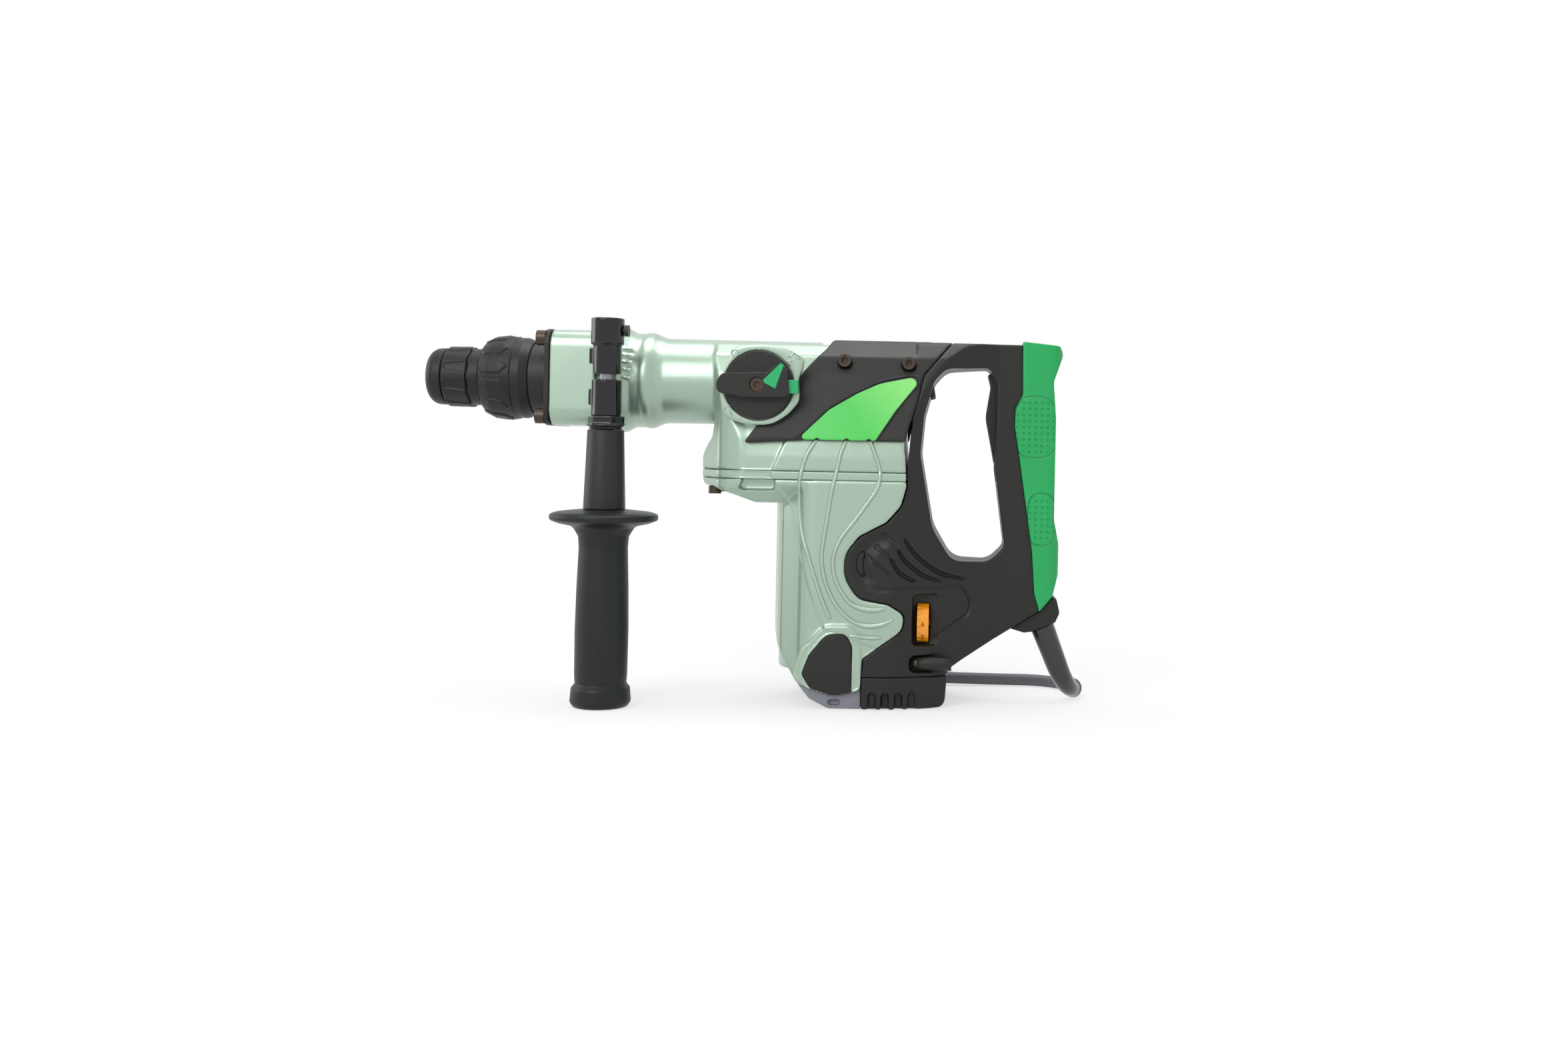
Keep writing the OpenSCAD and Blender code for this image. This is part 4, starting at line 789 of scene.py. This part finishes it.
def shellRelief(at, facing):
    x, z = at[:, 0] - crankX, at[:, 2]
    side = sideOnly(facing, 0.35, 0.7)
    out = np.zeros(len(x))
    for line in shell["slits"]:
        d, along = lineDistance(x, z, flowing(line))
        half = 1.5 * np.sqrt(np.clip(np.minimum(along, 1 - along) * 5, 0.02, 1))
        out -= 2.2 * ridge(d, half * 1.25)
        rim, _ = lineDistance(x, z, flowing(moved(line, 0.9, 1.6)))
        out += 0.8 * ridge(rim, 1.7)
    d, along = lineDistance(x, z, flowing(shell["tear"]))
    out -= 1.4 * ridge(d, 1.5) * np.clip(along * 8, 0, 1)
    d, along = lineDistance(x, z, flowing(shell["hollow"]))
    out -= 2.4 * ridge(d, 8) * np.clip(np.minimum(along, 1 - along) * 6, 0.2, 1) * (x > 38)
    return out * side


cast("topCover", ["upper_cover"], "body", "plastic_black", voxel=0.8, rounds=4)
cast("leftShell", ["handle_half_left"], "body", "plastic_black", voxel=0.8, rounds=4, carve=shellRelief,
     keep=0.35)
cast("rightShell", ["handle_half_right"], "body", "plastic_black", voxel=0.8, rounds=4, carve=shellRelief,
     keep=0.35)
cast("footCover", ["tail_cover"], "body", "plastic_black", voxel=0.8, rounds=3)
cast("vents", ["vent_skirt"], "body", "vent_grey", voxel=0.6, rounds=3)
cast("brushDoors", ["brush_covers"], "body", "plastic_black", voxel=0.6, rounds=4)
cast("cordInlet", ["cord_gland"], "body", "plastic_black", voxel=0.6, rounds=5)
cast("pullTrigger", ["trigger"], "trigger", "plastic_black", voxel=0.5, rounds=5)
cast("modeKnob", ["mode_knob"], "lever", "plastic_black", voxel=0.35, rounds=1, keep=0.35)
cast("clampBand", ["clamp_band"], "clamp", "dark_chrome", voxel=0.55, rounds=4, keep=0.35)
cast("clampNut", ["clamp_nut"], "clamp", "dark_chrome", voxel=0.5, rounds=3, keep=0.35)

# grip cover
cast("gripSkin", ["grip_cover"], "body", "grip_green", voxel=0.6, rounds=8, keep=0.35)
print("black shells and grip made")

# mode lever: the plate round the knob, with its raised marks
lever = {"hole": 22.2, "rim": 24.6, "front": 47.6, "back": 43.0,
         "outline": [(-17.5, 20.5), (-13.1, 24.3), (0, 25.6), (10, 25), (18, 23.3), (27.2, 18), (28, 14),
                     (26.5, 8.8), (25.2, 4), (25.6, -8.1), (22.6, -13.5), (17, -19.2), (7.2, -24.4),
                     (-6.4, -24.6), (-17.5, -21.8), (-22.3, -17.5), (-23.8, -12), (-24.4, -5), (-23.8, 3),
                     (-21, 12)],
         "marks": [[(-35.4 + 2.2 * math.cos(a * math.pi / 8), 16.7 + 2.2 * math.sin(a * math.pi / 8))
                    for a in range(17)],
                   [(-1.6, 14.2), (2.2, 17.6)], [(2.2, 17.6), (5, 15.6), (5.6, 13.4)],
                   [(0.2, 11.2), (3.6, 14.2)], [(-3.4, 10.6), (-0.6, 14)], [(-2.2, 9.8), (0.6, 12.8)],
                   [(-1, 9), (1.6, 11.8)],
                   [(-40, -16.6), (-37.6, -19.6), (-36.4, -23.2)], [(-41.4, -19.4), (-40, -16.6),
                                                                    (-36.6, -16)]]}


def radiusAt(angle, outline):
    # how far an outline round the origin is in each direction
    out = np.zeros(len(angle))
    for (ax, az), (bx, bz) in zip(outline, outline[1:] + outline[:1]):
        c, s = np.cos(angle), np.sin(angle)
        ex, ez = bx - ax, bz - az
        under = c * ez - s * ex
        safe = np.where(np.abs(under) < 1e-9, 1, under)
        reach = (ax * ez - az * ex) / safe
        along = (ax * s - az * c) / safe
        hit = (reach > 0) & (along >= 0) & (along <= 1) & (np.abs(under) > 1e-9)
        out = np.where(hit, np.maximum(out, reach), out)
    return out


def leverRelief(x, r, angle):
    outline = flowing(lever["outline"] + lever["outline"][:1], 4)[:-1]
    change = (radiusAt(angle, outline) - lever["rim"]) * np.clip((r - lever["hole"]) / 2.4, 0, 1)
    return np.where(r > lever["hole"] + 0.6, change, 0)


def makeLever():
    back, front, hole, rim = lever["back"], lever["front"], lever["hole"], lever["rim"]
    lathe("leverPlate", roundedLine([(-back, hole, 0), (-front, hole, 0.4), (-front, rim, 0.8),
                                     (-back, rim, 0)], steps=3),
          "body", "body_metal", [], steps=160, pitch=0.8, relief=leverRelief, axis="Y", centre=(leverX,
                                                                                                leverZ))
    lines = [[Vector((crankX + x, -front - 0.1, z)) for x, z in mark] for mark in lever["marks"]]
    place("leverMarks", tubeMesh("leverMarks", lines, [[0.42] * len(line) for line in lines], sides=6),
          "body", "body_metal")


makeLever()

# frames round the badge plates
badge = [(3.6, -37.2), (13, -28), (23.6, -17.2), (31, -12), (42, -5.8), (56, 0.9), (70, 4.2), (77.6, 5.0),
         (80.9, 2.6), (80.4, -0.5), (73, -9.2), (66.9, -18), (60.5, -27.6), (54.8, -37.2)]


def makeBadgeFrames():
    tree = surfaceTree(["topCover"])
    lines = [laid(tree, flowing(badge, 5), side, 0.1) for side in (-1, 1)]
    place("badgeFrames", tubeMesh("badgeFrames", lines, [[0.8] * len(line) for line in lines], sides=8),
          "body", "rubber_black")


makeBadgeFrames()

# side handle
hand = {"top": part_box("side_handle_core")[1].z / mm, "guard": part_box("side_grip")[1].z / mm,
        "disc": (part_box("side_grip")[1].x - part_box("side_grip")[0].x) / 2 / mm,
        "bolt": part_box("side_handle_core")[0].z / mm}


def makeSideHandle():
    top, g, f = hand["top"], hand["guard"], floorZ
    centre = (handleX, handleY)
    lathe("handleStem", roundedLine([(top, 4.65, 0), (top, 11.3, 0.7), (g + 0.5, 13, 0), (g - 0.2, 9, 0),
                                     (hand["bolt"], 9, 0),
                                     (hand["bolt"], 0.3, 0), (-62.5, 0.3, 0), (-62.5, 4.65, 0)], steps=4),
          "side_handle", "plastic_black", ["side_handle_core"], steps=64, pitch=60, axis="Z", centre=centre)
    lathe("handleGrip", roundedLine([(g, 9.1, 0), (g, 15, 1.5), (g - 1.6, hand["disc"] - 4, 12),
                                     (g - 3.2, hand["disc"], 1.6),
                                     (g - 6.6, hand["disc"], 1.8), (g - 8.6, hand["disc"] - 5, 6),
                                     (g - 10.6, 19.4, 5),
                                     (g - 17, 15.6, 5), (g - 24, 15.1, 12), (g - 50, 16.0, 30),
                                     (g - 75, 16.5, 30),
                                     (f + 20, 16.3, 6), (f + 14.4, 15.9, 1.6), (f + 11.6, 18.2, 2.4),
                                     (f + 3, 18.9, 3),
                                     (f, 16.8, 1.4), (f, 0.3, 0), (f + 13.9, 0.3, 0), (f + 13.9, 9.1, 0)],
                                     steps=5),
          "side_handle", "rubber_black", ["side_grip"], steps=96, pitch=60, axis="Z", centre=centre)


makeSideHandle()

# screws and bosses in the pockets of the shells, and the row of cooling fins
nook = {"lowZ": -178.2, "lowY": 35.2, "lowFrom": 80.2, "lowTo": 105, "screwAt": [0, 0.4, 0.4, 2.6, 3.4],
        "high": [(80.5, -98.6), (88.6, -100.6)], "highY": 26, "cap": [(84.4, -4.6), (90.6, -3.4)], "capY": 16,
        "fins": [(77.0, -66.5), (77.4, -73.5), (78.4, -80.5)], "finY": 22}


def pegs(ends, y, parts):
    # a pair of lines, one on each side, through parts of the way between two places
    (x0, z0), (x1, z1) = ends
    return [[Vector((crankX + x0 + (x1 - x0) * k, side * y, z0 + (z1 - z0) * k)) for k in parts]
            for side in (-1, 1)]


def makeNooks():
    start, end, z = nook["lowFrom"], nook["lowTo"], nook["lowZ"]
    towers = pegs([(start + 3, z), (end, z)], nook["lowY"], (0, 0.25, 0.5, 0.75, 1))
    place("screwTowers", tubeMesh("screwTowers", towers, [[3.9, 4.4, 4.6, 4.6, 4.7]] * 2, sides=20), "body",
          "plastic_black")
    screws = [[Vector((crankX + start + d, side * nook["lowY"], z)) for d in nook["screwAt"]]
              for side in (-1, 1)]
    place("towerScrews", tubeMesh("towerScrews", screws, [[1.8, 2.0, 3.2, 3.4, 3.4]] * 2, sides=16), "body",
          "screw_steel")
    bosses = pegs(nook["high"], nook["highY"], (0, 0.3, 0.6, 0.85, 1))
    bosses += pegs(nook["cap"], nook["capY"], (0, 0.45, 0.5, 0.9, 1))
    radii = [[4.8, 4.8, 4.6, 4.5, 3.9]] * 2 + [[3.2, 3.2, 4.6, 4.4, 3.6]] * 2
    place("innerBosses", tubeMesh("innerBosses", bosses, radii, sides=20), "body", "plastic_black")
    fins = [[Vector((crankX + x + 1.2 * math.sin(k * 3.1), side * nook["finY"] * (1 - k), top - 3.5 * k))
             for k in (0, 0.25, 0.5, 0.75, 1)] for x, top in nook["fins"] for side in (-1, 1)]
    place("coolingFins", tubeMesh("coolingFins", fins, [[1.3] * 5] * len(fins), sides=8), "body",
          "plastic_black")


makeNooks()

# guard of the cord, with the lip at its end
guard = {"thick": 8.0, "thin": 5.6, "lip": 6.5}


def makeGuard():
    line = smoothLine(guardPoints, 3)
    n = len(line)
    radii = [guard["thick"] + (guard["thin"] - guard["thick"]) * (i / (n - 1)) ** 0.8 for i in range(n)]
    radii = [r + (guard["lip"] - guard["thin"]) * math.exp(-((i - n + 3) / 1.6) ** 2) for i,
             r in enumerate(radii)]
    place("cordGuard", tubeMesh("cordGuard", [line], [radii], sides=28), "body", "plastic_gloss",
          "cord_guard")


makeGuard()

# numbers on the speed dial
dial = {"x": middle("speed_dial").x / mm - 2.3, "y": middle("speed_dial").y / mm,
        "z": middle("speed_dial").z / mm,
        "r": (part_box("speed_dial")[1].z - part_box("speed_dial")[0].z) / 2 / mm, "size": 4.6, "proud": 0.12,
        "step": 40}


def makeNumbers():
    work = bmesh.new()
    for number in range(1, 7):
        letter = bpy.data.curves.new("number", "FONT")
        letter.body = str(number)
        letter.size = dial["size"] * mm
        letter.align_x = "CENTER"
        letter.align_y = "CENTER"
        letter.extrude = dial["proud"] * mm
        letter.resolution_u = 3
        holder = bpy.data.objects.new("number", letter)
        bpy.context.scene.collection.objects.link(holder)
        mesh = bpy.data.meshes.new_from_object(holder.evaluated_get(bpy.context.evaluated_depsgraph_get()))
        stand = Matrix.Translation((0, -dial["r"] * mm, 0)) @ Matrix.Rotation(math.radians(90), 4, "X")
        turn = Matrix.Rotation(math.radians(dial["step"] * (6 - number)), 4, "X")
        mesh.transform(Matrix.Translation((dial["x"] * mm, dial["y"] * mm, dial["z"] * mm)) @ turn @ stand)
        work.from_mesh(mesh)
        bpy.data.objects.remove(holder)
        bpy.data.meshes.remove(mesh)
        bpy.data.curves.remove(letter)
    mesh = bpy.data.meshes.new("dialNumbers")
    work.to_mesh(mesh)
    work.free()
    place("dialNumbers", mesh, "dial", "carbon")


makeNumbers()
cast("frontPlate", ["front_cover"], "body", "plastic_black", voxel=0.6, rounds=3)
cast("mainsPlug", ["cord_plug"], "body", "plastic_black", voxel=0.6, rounds=6)
cast("cordTie", ["cord_tie"], "body", "plastic_black", voxel=0.4, rounds=3, keep=0.25)
tuple(cordLine[0] * mm)
print("trim made")

print("scene ready")
